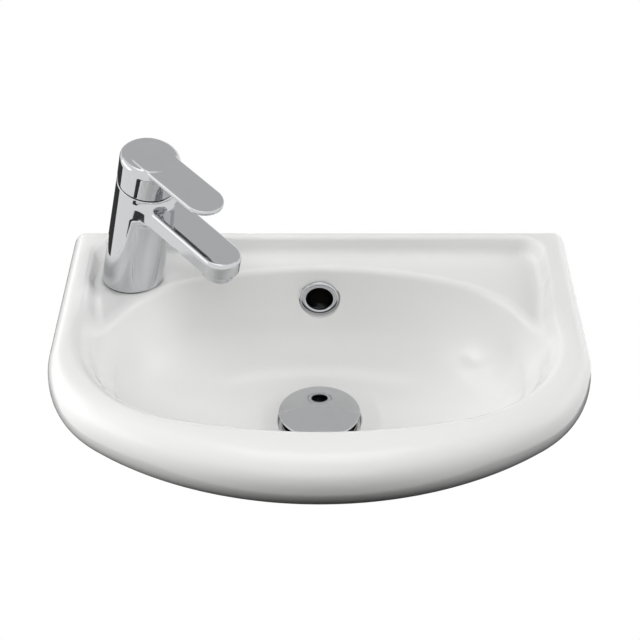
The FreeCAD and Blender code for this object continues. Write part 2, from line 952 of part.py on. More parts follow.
def aerator_place():
    """On the spout's underside at the round of its tip, square to it."""
    rise = FreeCAD.Placement(
        Z_AXIS * size.spout_level.value, FreeCAD.Rotation(-Y_AXIS, size.spout_rise.value))
    seat = FreeCAD.Placement(
        FreeCAD.Vector(aerator_run().value, 0, -size.spout_thick.value), FreeCAD.Rotation())
    return tap_place() * rise * seat


def spout_sketch(body, depth):
    """A sketch parallel to the spout's top at that depth."""
    level = size.spout_level - depth / cosine(size.spout_rise)
    return new_sketch(body, "XY_Plane", offset=level, lean=size.spout_rise)


def tongue(half, reach):
    """A tongue from the axis with a round tip."""
    straight = reach - half
    return [(ZERO, -half), (straight, -half, half), (reach, ZERO, half), (straight, half), (ZERO, half)]


def add_tap_outside(body):
    foot, top = size.body_foot_radius, size.body_top_radius
    below = foot * tangent(size.tap_lean) + size.overrun
    revolve(body, "Revolution", [
        (ZERO, -below),
        (foot, -below),
        (foot, ZERO),
        (top, size.body_top),
        (ZERO, size.body_top),
    ])
    sketch = spout_sketch(body, ZERO)
    draw(sketch, tongue(size.spout_half, size.spout_reach))
    pad(body, sketch, size.spout_thick, reverse=True)
    wide = foot * 2
    slope = wide * tangent(size.tap_lean)
    ground = new_sketch(body, "XZ_Plane")
    draw(ground, [(-wide, -(slope + wide)), (wide, -(slope + wide)), (wide, slope), (-wide, -slope)])
    pocket(body, ground, wide * 2, both_sides=True)
    rise = math.tan(math.radians(size.spout_rise.value))

    def on_spout_rim(edge):
        points = edge.discretize(3)
        clear = all(math.hypot(point.x, point.y) > foot.value - size.overrun.value for point in points)
        heights = [point.z - size.spout_level.value - point.x * rise for point in points]
        return clear and max(heights) - min(heights) < size.running_gap.value

    fillet(body, size.spout_edge, on_spout_rim)


def cut_waterways(body):
    """Cartridge bore, feeds from the two inlets, riser and spout channel, aerator socket, stud hole."""
    thread = size.nut_radius + size.thread_gap
    shell = size.cartridge_radius + size.seat_gap
    round_hole(body, ZERO, ZERO, thread, size.body_top, size.body_top - size.housing_shoulder)
    round_hole(body, ZERO, ZERO, shell, size.body_top, size.body_top - size.seat_level)
    sump = size.seat_level - size.feed_radius * 3
    round_hole(body, size.outlet_ahead, ZERO, size.feed_radius, size.seat_level, size.feed_radius * 3)
    bore = size.feed_radius
    crossing = new_sketch(body, "XY_Plane", offset=sump)
    draw(crossing, rectangle(size.outlet_ahead - bore, shell + bore, -bore, bore))
    pocket(body, crossing, bore * 2, reverse=True)
    riser = new_sketch(body, "XY_Plane", offset=sump)
    draw(riser, rectangle(shell - bore, shell + bore, -bore, bore))
    pocket(body, riser, size.spout_level - size.spout_roof - size.channel_tall / 2 - sump, reverse=True)
    channel = spout_sketch(body, size.spout_roof)
    half = size.channel_wide / 2
    draw(channel, rectangle(shell - bore, aerator_run() + half, -half, half))
    pocket(body, channel, size.channel_tall)
    socket = spout_sketch(body, size.spout_thick)
    shift = size.spout_thick * tangent(size.spout_rise)
    circle(socket, aerator_run() + shift, ZERO, size.aerator_thread + size.thread_gap)
    pocket(body, socket, size.aerator_thread_high + size.washer_thick, reverse=True)
    feeds = new_sketch(body, "XY_Plane", offset=size.seat_level)
    inlets = new_sketch(body, "XY_Plane", lean=size.tap_lean)
    for across in (size.inlet_across, -size.inlet_across):
        circle(feeds, size.feed_ahead, across, size.feed_radius)
        circle(inlets, size.inlet_ahead, across, size.inlet_radius)
    pocket(body, feeds, size.seat_level - size.inlet_depth / 2)
    pocket(body, inlets, size.inlet_depth, reverse=True)
    stud = new_sketch(body, "XY_Plane", lean=size.tap_lean)
    circle(stud, -size.stud_behind, ZERO, size.stud_radius + size.thread_gap)
    pocket(body, stud, size.stud_grip + size.seat_gap, reverse=True)


def make_tap_body():
    body = new_body("tap_body", tap_place())
    add_tap_outside(body)
    cut_waterways(body)


def make_tap_base_gasket():
    profile = ring_profile(size.gasket_inner, size.gasket_outer, -size.gasket_thick, size.gasket_thick)
    turned("tap_base_gasket", profile, level_place())


def make_aerator():
    """Screwed ring with a lip, the perforated insert it holds, and the washer above."""
    thread_top = size.aerator_thread_high
    low = -size.aerator_drop
    lip_top = low + size.aerator_lip_high
    turned("aerator_housing", [
        (size.aerator_lip, low),
        (size.aerator_radius, low),
        (size.aerator_radius, ZERO),
        (size.aerator_thread, ZERO),
        (size.aerator_thread, thread_top),
        (size.aerator_bore, thread_top),
        (size.aerator_bore, lip_top),
        (size.aerator_lip, lip_top),
    ], aerator_place())
    plain = ring_profile(ZERO, size.aerator_bore - size.running_gap, lip_top, size.insert_high)
    insert = turned("aerator_insert", plain, aerator_place())
    holes = new_sketch(insert, "XY_Plane", offset=lip_top)
    for ring, count in enumerate(INSERT_RINGS):
        for step in range(count):
            angle = as_size(FULL_TURN * step / count)
            spread = size.insert_pitch * ring
            x = spread * cosine(angle) if ring else ZERO
            y = spread * sine(angle) if ring else ZERO
            circle(holes, x, y, size.insert_hole)
    pocket(insert, holes, size.insert_high, reverse=True)
    washer = ring_profile(size.washer_inner, size.aerator_thread, thread_top, size.washer_thick)
    turned("aerator_washer", washer, aerator_place())


# Ceramic disc cartridge, from its seat upwards

def base_foot():
    return size.seat_level + size.port_seal_thick


def disc_seat():
    return base_foot() + size.base_high


def disc_split():
    return disc_seat() + size.fixed_disc_high


def moving_disc_top():
    return disc_split() + size.running_gap + size.moving_disc_high


def port_centres():
    return [
        (size.feed_ahead, size.inlet_across),
        (size.feed_ahead, -size.inlet_across),
        (size.outlet_ahead, ZERO),
    ]


def ported_disc(name, radius, low, high):
    body = new_body(name, tap_place())
    sketch = new_sketch(body, "XY_Plane", offset=low)
    circle(sketch, ZERO, ZERO, radius)
    for x, y in port_centres():
        circle(sketch, x, y, size.feed_radius)
    pad(body, sketch, high)


def make_cartridge_seals():
    """Three rubber rings between the body's seat and the cartridge's ports, as one group."""
    rings = []
    for x, y in port_centres():
        centre = FreeCAD.Vector(x.value, y.value, size.seat_level.value)
        outer = (size.feed_radius + size.port_seal_wide).value
        ring = Part.makeCylinder(outer, size.port_seal_thick.value, centre)
        rings.append(ring.cut(Part.makeCylinder(size.feed_radius.value, size.port_seal_thick.value, centre)))
    seals = doc.addObject("Part::Feature", "cartridge_seals")
    seals.Label = "cartridge_seals"
    seals.Shape = Part.makeCompound(rings)
    seals.Placement = tap_place()
    parts.append(seals)


def make_cartridge_housing():
    turned("cartridge_housing", [
        (size.housing_bore, disc_seat()),
        (size.cartridge_radius, disc_seat()),
        (size.cartridge_radius, size.housing_shoulder),
        (size.housing_neck, size.housing_shoulder),
        (size.housing_neck, size.housing_top),
        (size.housing_neck_bore, size.housing_top),
        (size.housing_neck_bore, size.housing_shoulder - size.housing_roof),
        (size.housing_bore, size.housing_shoulder - size.housing_roof),
    ], tap_place())


def make_moving_disc():
    low = disc_split() + size.running_gap
    top = moving_disc_top()
    turned("moving_disc", [
        (ZERO, low),
        (size.moving_disc_radius, low),
        (size.moving_disc_radius, top),
        (size.socket_radius, top),
        (size.socket_radius, top - size.socket_deep),
        (ZERO, top - size.socket_deep),
    ], tap_place())


def make_spindle_guide():
    """Turret that turns in the housing; a wedge slot lets the spindle swing, a cross hole takes the pin."""
    low = moving_disc_top() + size.swing_gap
    step = size.housing_shoulder - size.housing_roof - size.seat_gap
    top = size.housing_top
    wide = size.housing_bore - size.running_gap
    neck = size.housing_neck_bore - size.running_gap
    body = turned("spindle_guide", [
        (ZERO, low),
        (wide, low),
        (wide, step),
        (neck, step),
        (neck, top),
        (ZERO, top),
    ], tap_place())
    lean = tangent(size.lift_angle)
    side = size.spindle_half / cosine(size.lift_angle) + size.swing_gap
    pivot = size.pivot_level
    slot = new_sketch(body, "XZ_Plane")
    draw(slot, [
        (-side, low - size.overrun),
        (side + (pivot - low + size.overrun) * lean, low - size.overrun),
        (side, pivot),
        (side, top + size.overrun),
        (-(side + (top + size.overrun - pivot) * lean), top + size.overrun),
        (-side, pivot),
    ])
    pocket(body, slot, (size.spindle_half + size.swing_gap) * 2, both_sides=True)
    cross_hole(body)


def cross_hole(body):
    hole = new_sketch(body, "XZ_Plane")
    circle(hole, ZERO, size.pivot_level, size.pin_radius + size.running_gap)
    pocket(body, hole, size.housing_bore * 2, both_sides=True)


def make_lever_spindle():
    """Square spindle with a finger and ball below that push the moving disc."""
    ball, finger = size.ball_radius, size.finger_radius
    body = turned("lever_spindle", [
        (ZERO, size.ball_level - ball, ball),
        (finger, size.ball_level + root(ball * ball - finger * finger)),
        (finger, size.spindle_foot + size.overrun),
        (ZERO, size.spindle_foot + size.overrun),
    ], tap_place())
    half = size.spindle_half
    square = new_sketch(body, "XY_Plane", offset=size.spindle_foot)
    draw(square, rectangle(-half, half, -half, half))
    pad(body, square, size.spindle_top - size.spindle_foot)
    cross_hole(body)


def make_pivot_pin():
    body = new_body("pivot_pin", tap_place())
    sketch = new_sketch(body, "XZ_Plane")
    circle(sketch, ZERO, size.pivot_level, size.pin_radius)
    pad(body, sketch, size.pin_length, both_sides=True)


def make_cartridge_nut():
    profile = rectangle(size.nut_bore, size.nut_radius, size.housing_shoulder, size.body_top)
    turned("cartridge_nut", profile, tap_place())


def make_tap_shroud():
    """Domed ring on the body's top, a zone of a sphere about the pivot, so the collar swings clear."""
    outer = size.shroud_radius
    inner = outer - size.shroud_wall

    def radius_at(sphere, level):
        up = level - size.pivot_level
        return root(sphere * sphere - up * up)

    low, top = size.body_top, size.shroud_top
    turned("tap_shroud", [
        (radius_at(inner, low), low),
        (radius_at(outer, low), low, outer),
        (radius_at(outer, top), top),
        (radius_at(inner, top), top, -inner),
    ], tap_place())


# Handle

def add_handle_outside(body):
    """Collar with a sloping flat top and a rounded rim, and the lever that runs out from that top."""
    radius = size.collar_radius
    rise = tangent(size.lever_rise)
    foot = size.body_top + size.collar_gap
    above = size.lever_level + radius * rise + size.overrun
    revolve(body, "Revolution", rectangle(ZERO, radius, foot, above))
    wide = radius * 2
    top = new_sketch(body, "XY_Plane", offset=size.lever_level, lean=size.lever_rise)
    draw(top, rectangle(-wide, wide, -wide, wide))
    pocket(body, top, wide, reverse=True)
    fillet(body, size.collar_round, lambda edge: edge.BoundBox.ZMin > size.grub_level.value)
    lever = new_sketch(body, "XY_Plane", offset=size.lever_level, lean=size.lever_rise)
    draw(lever, tongue(size.lever_half, size.lever_reach))
    pad(body, lever, size.lever_thick, reverse=True)


def cut_handle(body):
    """Bore over the dome, boss with the spindle's square, slanted relief behind, grub screw holes."""
    roof = size.lever_level - size.handle_roof
    foot = size.body_top + size.collar_gap
    radius = size.collar_radius
    revolve(body, "Groove", rectangle(ZERO, size.collar_bore, foot - size.overrun, roof))
    boss = new_sketch(body, "XY_Plane", offset=size.boss_foot)
    circle(boss, ZERO, ZERO, size.boss_round_radius)
    pad(body, boss, roof + size.running_gap - size.boss_foot)
    half = size.spindle_half + size.running_gap
    square = new_sketch(body, "XY_Plane", offset=size.boss_foot)
    draw(square, rectangle(-half, half, -half, half))
    pocket(body, square, size.spindle_top + size.seat_gap - size.boss_foot, reverse=True)
    tilt, pivot = size.lift_angle, size.pivot_level
    wide = radius + size.overrun

    def relief(x):
        return pivot + (size.body_top + size.swing_gap - pivot - x * sine(tilt)) / cosine(tilt)

    cut = new_sketch(body, "XZ_Plane")
    draw(cut, [(-wide, foot - wide), (wide, foot - wide), (wide, relief(wide)), (-wide, relief(-wide))])
    pocket(body, cut, wide * 2, both_sides=True)
    grub = new_sketch(body, "YZ_Plane", offset=-(radius + size.overrun))
    circle(grub, ZERO, size.grub_level, size.grub_radius + size.thread_gap)
    pocket(body, grub, radius + size.overrun - half, reverse=True)


def make_handle():
    body = new_body("handle", tap_place())
    add_handle_outside(body)
    cut_handle(body)
    screw = new_body("handle_grub_screw", tap_place())
    tip = -(size.spindle_half + size.running_gap)
    sketch = new_sketch(screw, "YZ_Plane", offset=tip)
    circle(sketch, ZERO, size.grub_level, size.grub_radius)
    pad(screw, sketch, size.grub_length, reverse=True)


# Tap fixing under the deck; levels are measured from the tap's foot

def deck_underside():
    return -(size.gasket_thick + size.deck_thick)


def horseshoe(name, top, thick):
    """Round plate, open towards the hoses, with the stud's hole."""
    body = new_body(name, level_place())
    outline = new_sketch(body, "XY_Plane", offset=top - thick)
    circle(outline, ZERO, ZERO, size.clamp_radius)
    pad(body, outline, thick)
    slot = new_sketch(body, "XY_Plane", offset=top)
    half = size.clamp_slot_half
    draw(slot, rectangle(-size.clamp_slot_ahead, size.clamp_radius + size.overrun, -half, half))
    pocket(body, slot, thick)
    hole = size.stud_radius + size.seat_gap
    round_hole(body, -size.stud_behind, ZERO, hole, top, thick)


def make_tap_fixing():
    gasket_top = deck_underside()
    plate_top = gasket_top - size.clamp_gasket_thick
    nut_top = plate_top - size.clamp_plate_thick
    horseshoe("clamp_gasket", gasket_top, size.clamp_gasket_thick)
    horseshoe("clamp_plate", plate_top, size.clamp_plate_thick)
    nut = new_body("mounting_nut", level_place())
    outline = new_sketch(nut, "XY_Plane", offset=nut_top - size.stud_nut_high)
    draw(outline, [(x - size.stud_behind, y) for x, y in hexagon(size.stud_nut_flats)])
    circle(outline, -size.stud_behind, ZERO, size.stud_radius + size.thread_gap)
    pad(nut, outline, size.stud_nut_high)
    stud = new_body("mounting_stud", level_place())
    rod = new_sketch(stud, "XY_Plane", offset=-size.stud_tail)
    circle(rod, -size.stud_behind, ZERO, size.stud_radius)
    pad(stud, rod, size.stud_tail + size.stud_grip)


def make_everything():
    make_basin()
    make_overflow_ring()
    make_waste_body()
    make_waste_seals()
    make_waste_backnut()
    make_click_housing()
    make_plug()
    make_click_spring()
    make_tap_body()
    make_tap_base_gasket()
    make_aerator()
    ported_disc("cartridge_base", size.cartridge_radius, base_foot(), size.base_high)
    make_cartridge_seals()
    ported_disc("fixed_disc", size.fixed_disc_radius, disc_seat(), size.fixed_disc_high)
    make_moving_disc()
    make_cartridge_housing()
    make_spindle_guide()
    make_lever_spindle()
    make_pivot_pin()
    make_cartridge_nut()
    make_tap_shroud()
    make_handle()
    make_tap_fixing()


def check_and_write():
    """Stop at any failed object, empty cut or bad shape, then write each part's STEP file."""
    doc.recompute()
    for item in doc.Objects:
        if "Invalid" in item.State or "Error" in item.State:
            raise RuntimeError(f"{item.Label} failed: {item.State}")
        if item.TypeId in CUTTERS and not item.Shape.Volume < item.BaseFeature.Shape.Volume:
            raise RuntimeError(f"{item.Label} cuts nothing")
    os.makedirs("parts", exist_ok=True)
    for part in parts:
        shape = part.Shape
        if shape.isNull() or not shape.isValid():
            raise RuntimeError(f"{part.Label} has a bad shape")
        shape.exportStep(f"parts/{part.Label}.step")
        print(part.Label, len(shape.Solids), round(shape.Volume), shape.BoundBox)


make_everything()
check_and_write()
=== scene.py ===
"""Hand basin in white china with a leaning lever mixer tap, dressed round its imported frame."""
import bpy
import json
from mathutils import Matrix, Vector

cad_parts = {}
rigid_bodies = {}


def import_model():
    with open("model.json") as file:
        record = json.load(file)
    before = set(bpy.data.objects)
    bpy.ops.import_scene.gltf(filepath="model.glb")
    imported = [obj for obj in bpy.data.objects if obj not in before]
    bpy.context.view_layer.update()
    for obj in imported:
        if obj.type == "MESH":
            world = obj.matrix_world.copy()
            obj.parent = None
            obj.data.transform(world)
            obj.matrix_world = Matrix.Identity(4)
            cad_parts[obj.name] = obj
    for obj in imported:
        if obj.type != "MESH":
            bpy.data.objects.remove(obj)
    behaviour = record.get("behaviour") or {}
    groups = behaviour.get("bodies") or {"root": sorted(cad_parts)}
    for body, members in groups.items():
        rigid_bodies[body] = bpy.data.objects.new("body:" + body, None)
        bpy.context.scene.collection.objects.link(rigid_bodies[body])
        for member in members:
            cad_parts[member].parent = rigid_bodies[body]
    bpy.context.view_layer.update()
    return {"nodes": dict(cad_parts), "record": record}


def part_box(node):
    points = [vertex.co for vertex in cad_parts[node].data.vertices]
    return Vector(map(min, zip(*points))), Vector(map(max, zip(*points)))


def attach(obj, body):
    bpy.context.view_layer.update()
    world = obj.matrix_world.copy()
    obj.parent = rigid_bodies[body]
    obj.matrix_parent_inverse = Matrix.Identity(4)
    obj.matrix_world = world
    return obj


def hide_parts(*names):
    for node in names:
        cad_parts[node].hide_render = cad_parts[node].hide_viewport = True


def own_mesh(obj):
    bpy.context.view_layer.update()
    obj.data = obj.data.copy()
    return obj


for leftover in list(bpy.data.objects):
    bpy.data.objects.remove(leftover)
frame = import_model()

import json
import math

import bmesh
import numpy as np
import openvdb
from bpy.props import FloatProperty, FloatVectorProperty, IntProperty, PointerProperty
from mathutils import Matrix

bl_info = {
    "name": "Hand basin with mixer tap",
    "version": (1, 0, 0),
    "blender": (4, 5, 0),
    "location": "View3D > Sidebar > Hand basin",
    "description": "China basin, chrome tap and push waste on their packed frame",
    "category": "Object",
}

MM = 0.001
TINY = 1e-6


def linear(code):
    """A hex sRGB colour as linear red, green and blue."""
    channels = [int(code[start:start + 2], 16) / 255 for start in (1, 3, 5)]
    return [c / 12.92 if c <= 0.04045 else ((c + 0.055) / 1.055) ** 2.4 for c in channels]


def length(name, description, millimetres):
    return FloatProperty(name=name, description=description, default=millimetres * MM, unit="LENGTH")


def angle(name, description, degrees):
    return FloatProperty(name=name, description=description, default=math.radians(degrees), unit="ROTATION")


def colour(name, description, code):
    return FloatVectorProperty(name=name, description=description, default=linear(code), subtype="COLOR",
                               size=3, min=0.0, max=1.0)


class ChinaSizes(bpy.types.PropertyGroup):
    width: length("Width", "Across the rim's sides", 400)
    depth: length("Depth", "From the wall to the front of the rim", 295)
    rim_height: length("Rim height", "Rim's top above the wall fixings", 85)
    side_run: length("Side run", "From the wall to where the front starts to round", 152)
    roll_side: length("Side roll", "Width of the rim's roll at the sides", 13)
    roll_front: length("Front roll", "Width of the rim's roll at the front", 32)
    roll_drop: length("Roll drop", "Height of the rim's roll", 20)
    tuck_side: length("Side tuck", "How far the sides tuck under the roll", 22)
    tuck_front: length("Front tuck", "How far the front tucks under the roll", 50)
    tuck_drop: length("Tuck drop", "Height of the tuck under the roll", 30)
    bowl_half: length("Bowl half-width", "From the middle to the bowl's side", 180)
    bowl_rear: length("Bowl rear", "From the wall to the bowl's rear", 31)
    bowl_front: length("Bowl front", "From the wall to the bowl's front", 251)
    bowl_waist: length("Bowl waist", "From the wall to the bowl's widest line", 133)
    bowl_depth: length("Bowl depth", "From the rim down to the bowl's floor", 95)
    bowl_flare: length("Bowl flare",
                       "How far the bowl draws in from the rim to the deck's level beside it", 18)
    bowl_wall: length("Bowl wall",
                      "How far the bowl draws in from the rim to the deck's level ahead of it", 10)
    waste_run: length("Waste run", "From the wall to the waste's centre", 123)
    deck_drop: length("Deck drop", "From the rim down to the tap deck", 14)
    deck_half: length("Deck half-width", "From the middle to the deck's side at the rim", 181.9)
    deck_straight: length("Deck straight", "From the wall to where the deck's sides start to lean more", 60)
    wall: length("China wall", "Thickness of the bowl's wall", 11)
    lip_round: length("Lip round", "Rounding where the bowl meets the rim", 4.5)
    ridge_round: length("Ridge round", "Rounding where the bowl meets the deck", 5.2)


class TapSizes(bpy.types.PropertyGroup):
    lean: angle("Lean", "Lean of the tap's axis towards the bowl", 15.5)
    turn: angle("Turn", "Turn of the spout from the wall", 44.7)
    foot_radius: length("Foot radius", "Body's radius at its foot", 23.8)
    top_radius: length("Top radius", "Body's radius at its top", 22.8)
    body_top: length("Body height", "Up the axis to the body's top", 101.5)
    spout_level: length("Spout level", "Up the axis to the spout's top", 94)
    spout_half: length("Spout half-width", "Half the spout's width", 15.2)
    spout_reach: length("Spout reach", "From the axis to the spout's tip", 101)
    spout_thick: length("Spout thickness", "Thickness of the spout", 14)
    spout_rise: angle("Spout rise", "Slope of the spout's top", 3)
    collar_radius: length("Collar radius", "Radius of the handle's collar", 22.8)
    collar_round: length("Collar round", "Rounding of the collar's top rim", 4.4)
    lever_level: length("Lever level", "Up the axis to the lever's top", 127.5)
    lever_half: length("Lever half-width", "Half the lever's width", 15)
    lever_reach: length("Lever reach", "From the axis to the lever's tip", 74)
    lever_thick: length("Lever thickness", "Thickness of the lever", 3.6)
    lever_rise: angle("Lever rise", "Slope of the lever's top", 3.5)


class TrimSizes(bpy.types.PropertyGroup):
    segments: IntProperty(name="Segments", description="Facets round a turned piece", default=128, min=12)
    ring_radius: length("Ring radius", "Outer radius of the overflow ring", 16)
    ring_hole: length("Ring hole", "Radius of the overflow ring's hole", 10.75)
    ring_thick: length("Ring thickness", "How far the overflow ring stands on its seat", 3)
    cap_radius: length("Plug radius", "Radius of the plug's cap", 31.7)
    cap_crown: length("Plug crown", "Rise of the plug's dome", 3.3)
    aerator_radius: length("Aerator radius", "Outer radius of the aerator's ring", 12)
    waste_thread: length("Waste thread radius", "Radius of the thread on the waste's tail", 20.95)
    waste_pitch: length("Waste thread pitch", "Rise of each turn on the waste's tail", 2.309)
    stud_pitch: length("Stud thread pitch", "Rise of each turn on the tap's stud", 1.25)
    spring_radius: length("Spring radius", "Radius to the middle of the waste spring's wire", 4.1)
    spring_wire: length("Spring wire", "Radius of the waste spring's wire", 0.5)
    spring_turns: FloatProperty(name="Spring turns", description="Turns of the waste's spring", default=5.0)
    plug_stroke: length("Plug stroke", "How far the plug goes down", 6.7)


class Finishes(bpy.types.PropertyGroup):
    glaze: colour("Glaze", "White glaze of the china", "#EBEBEA")
    biscuit: colour("Biscuit", "Bare fired clay where the glaze is wiped off", "#E6DFD2")
    # Painted shade: a dark colour for the inside of the overflow's channel, standing in for the shadow in
    # that hole
    throat_shade: colour("Throat", "Stained, unglazed inside of the overflow's channel", "#2B2A28")
    chrome: colour("Chrome", "Polished chrome plate", "#CECFD1")
    brass: colour("Brass", "Turned brass", "#C9A765")
    steel: colour("Steel", "Stainless steel", "#B9BABB")
    rubber: colour("Rubber", "Moulded seal rubber", "#2A2A2C")
    acetal: colour("Acetal", "Moulded inner plastic", "#E4E3DE")
    alumina: colour("Alumina", "Lapped ceramic of the valve discs", "#EAE6DC")


class StageLook(bpy.types.PropertyGroup):
    floor_drop: length("Floor drop", "Floor below the wall fixings", 820)
    lens: FloatProperty(name="Lens", description="Camera's focal length in millimetres", default=90.0)
    pitch: angle("Pitch", "Camera's tilt from straight down", 54.5)


# Fields: signed distances in millimetres, negative inside, on arrays of points

def join(a, b, radius):
    """Union with a rounded inner corner."""
    rounded = np.hypot(np.maximum(radius - a, 0), np.maximum(radius - b, 0))
    return np.maximum(radius, np.minimum(a, b)) - rounded


def meet(a, b, radius):
    """Common part with a rounded outer edge."""
    rounded = np.hypot(np.maximum(radius + a, 0), np.maximum(radius + b, 0))
    return np.minimum(-radius, np.maximum(a, b)) + rounded


def cut(solid, tool, radius):
    """Solid less the tool, with the edge rounded."""
    return meet(solid, -tool, radius)


def bored(solid, holes):
    """Solid less holes, each as the distances to its outline and its ends and the rounding of its edge."""
    for outline, ends, edge in holes:
        solid = cut(solid, np.maximum(outline, ends), edge)
    return solid


def between(value, low, high):
    return np.maximum(low - value, value - high)


def corner(a, b):
    """Distance to a square outer corner, from the distances to its two sides."""
    return np.hypot(np.maximum(a, 0), np.maximum(b, 0)) + np.minimum(np.maximum(a, b), 0)


def nose(half, reach, share):
    """Corner radius, its centre's offset and the far arc's radius of a rounded front."""
    turn = reach * share
    inner = half - turn
    far = (inner * inner + reach * reach - turn * turn) / (2 * (reach - turn))
    return turn, inner, far


def nose_distance(x, run, half, reach, share):
    """Distance to a front of tangent arcs and straight sides behind, and the normal's forward part."""
    turn, inner, far = nose(half, reach, share)
    centre = reach - far
    on_far = -x * centre < (run - centre) * inner
    to_far = np.hypot(x, run - centre)
    to_corner = np.hypot(x - inner, run)
    distance = np.where(on_far, to_far - far, to_corner - turn)
    forward = np.where(on_far, (run - centre) / np.maximum(to_far, TINY), run / np.maximum(to_corner, TINY))
    behind = run < 0
    return np.where(behind, x - half, distance), np.where(behind, 0, np.clip(forward, 0, 1))


def quarter(gap, wide, rise, high, power):
    """Distance to a quarter oval of that width and height; a power of 2 is an ellipse, more is squarer."""
    across = np.maximum(wide - gap, 0) / wide
    along = np.maximum(rise, 0) / high
    reach = np.maximum((across ** power + along ** power) ** (1 / power), TINY)
    steep = np.hypot((across / reach) ** (power - 1) / wide, (along / reach) ** (power - 1) / high)
    return (reach - 1) / np.maximum(steep, 1 / np.maximum(wide, high))


# Sizes in millimetres, runs from the wall, drops from the rim's top
FRONT_SHARE = 0.78
BOWL_FRONT_SHARE = 0.92
BOWL_REAR_SHARE = 0.85
# Powers of the bowl's section: how full it is at the front, the sides and the rear, and down its depth
FULL_FRONT, FULL_SIDE, FULL_REAR, FULL_DEEP = 1.9, 4.0, 4.5, 2.4
ROLL_POWER, TUCK_POWER = 2.5, 2.0
# Slope of the deck's tapering sides, their end, their draft and the part of it taken at the rim
DECK_TAPER, DECK_END, DECK_DRAFT, DECK_BIAS = 0.12, 128.0, 4.8, 0.3
DECK_BACK, DECK_BACK_DRAFT, DECK_CORNER, DECK_ROUND, DECK_EDGE = 6.8, 2.2, 20.0, 4.5, 3.2
# The bowl widens ahead of the deck: depth of that, and the cosines of the bearings where it starts and ends
BULGE_DROP, BULGE_START, BULGE_FULL = 30.0, -0.2, 0.12
# The bowl's flare: its smoothing at the deck's level, its most rise, and its draw at the front
FLARE_BEND, FLARE_MOST, FLARE_FRONT = 0.5, 1.5, 4.0
LIP_DROP, LIP_SPAN = 4, 8
SKIN_DROP, SKIN_FILLET = 42, 10
PLATE_HALF, PLATE_DROP, PLATE_RISE, PLATE_CORNER, PLATE_THICK, PLATE_ROUND = 118, 78, 36, 12, 14, 2
KEEL_HALF, KEEL_DROP, KEEL_ROUND, FOOT_DROP = 30, 30, 4, 126
BOSS_RADIUS, BOSS_DROP, BOSS_ROUND = 38, 90, 2.5
KEEL_FILLET, BOSS_FILLET, BACK_FILLET, BACK_EDGE, PAST_WALL = 4, 5, 5, 1.5, 8
HOLLOW_HALF, HOLLOW_FRONT, HOLLOW_WALL, DECK_THICK = 172, 92, 7.5, 12
HOLLOW_CORNER, HOLLOW_ROUND, HOLLOW_FILLET, HOLLOW_EDGE = 6, 5, 4, 2.5
OVERFLOW_DROP, OVERFLOW_RUN, OVERFLOW_SEAT, OVERFLOW_BORE, OVERFLOW_END = 42, 32, 16.4, 12, 60
# The overflow's channel: a shaft down behind the bowl and a duct to the waste
DUCT_HALF, DUCT_BACK, DUCT_FRONT, DUCT_TOP, DUCT_ROOF, DUCT_FLOOR = 18, 12, 24, 28, 106, 116
RECESS_RADIUS, RECESS_DEEP, RECESS_CLEAR, WASTE_BORE, WASTE_DEEP = 32.4, 5, 20, 23, 60
TAP_FOOT = np.array([-148.0, -44.6, 72.5])
TAP_HOLE, TAP_HOLE_DROP = 17.5, 45
FIXING_HALF, FIXING_RADIUS, FIXING_DEEP = 100, 6, 30
BEARINGS, REACH_STEPS, STEEP_LEAST = 8192, 60, 0.012


def ease(share):
    """Smooth step from nought to one."""
    share = np.clip(share, 0, 1)
    return share ** 2 * (3 - 2 * share)


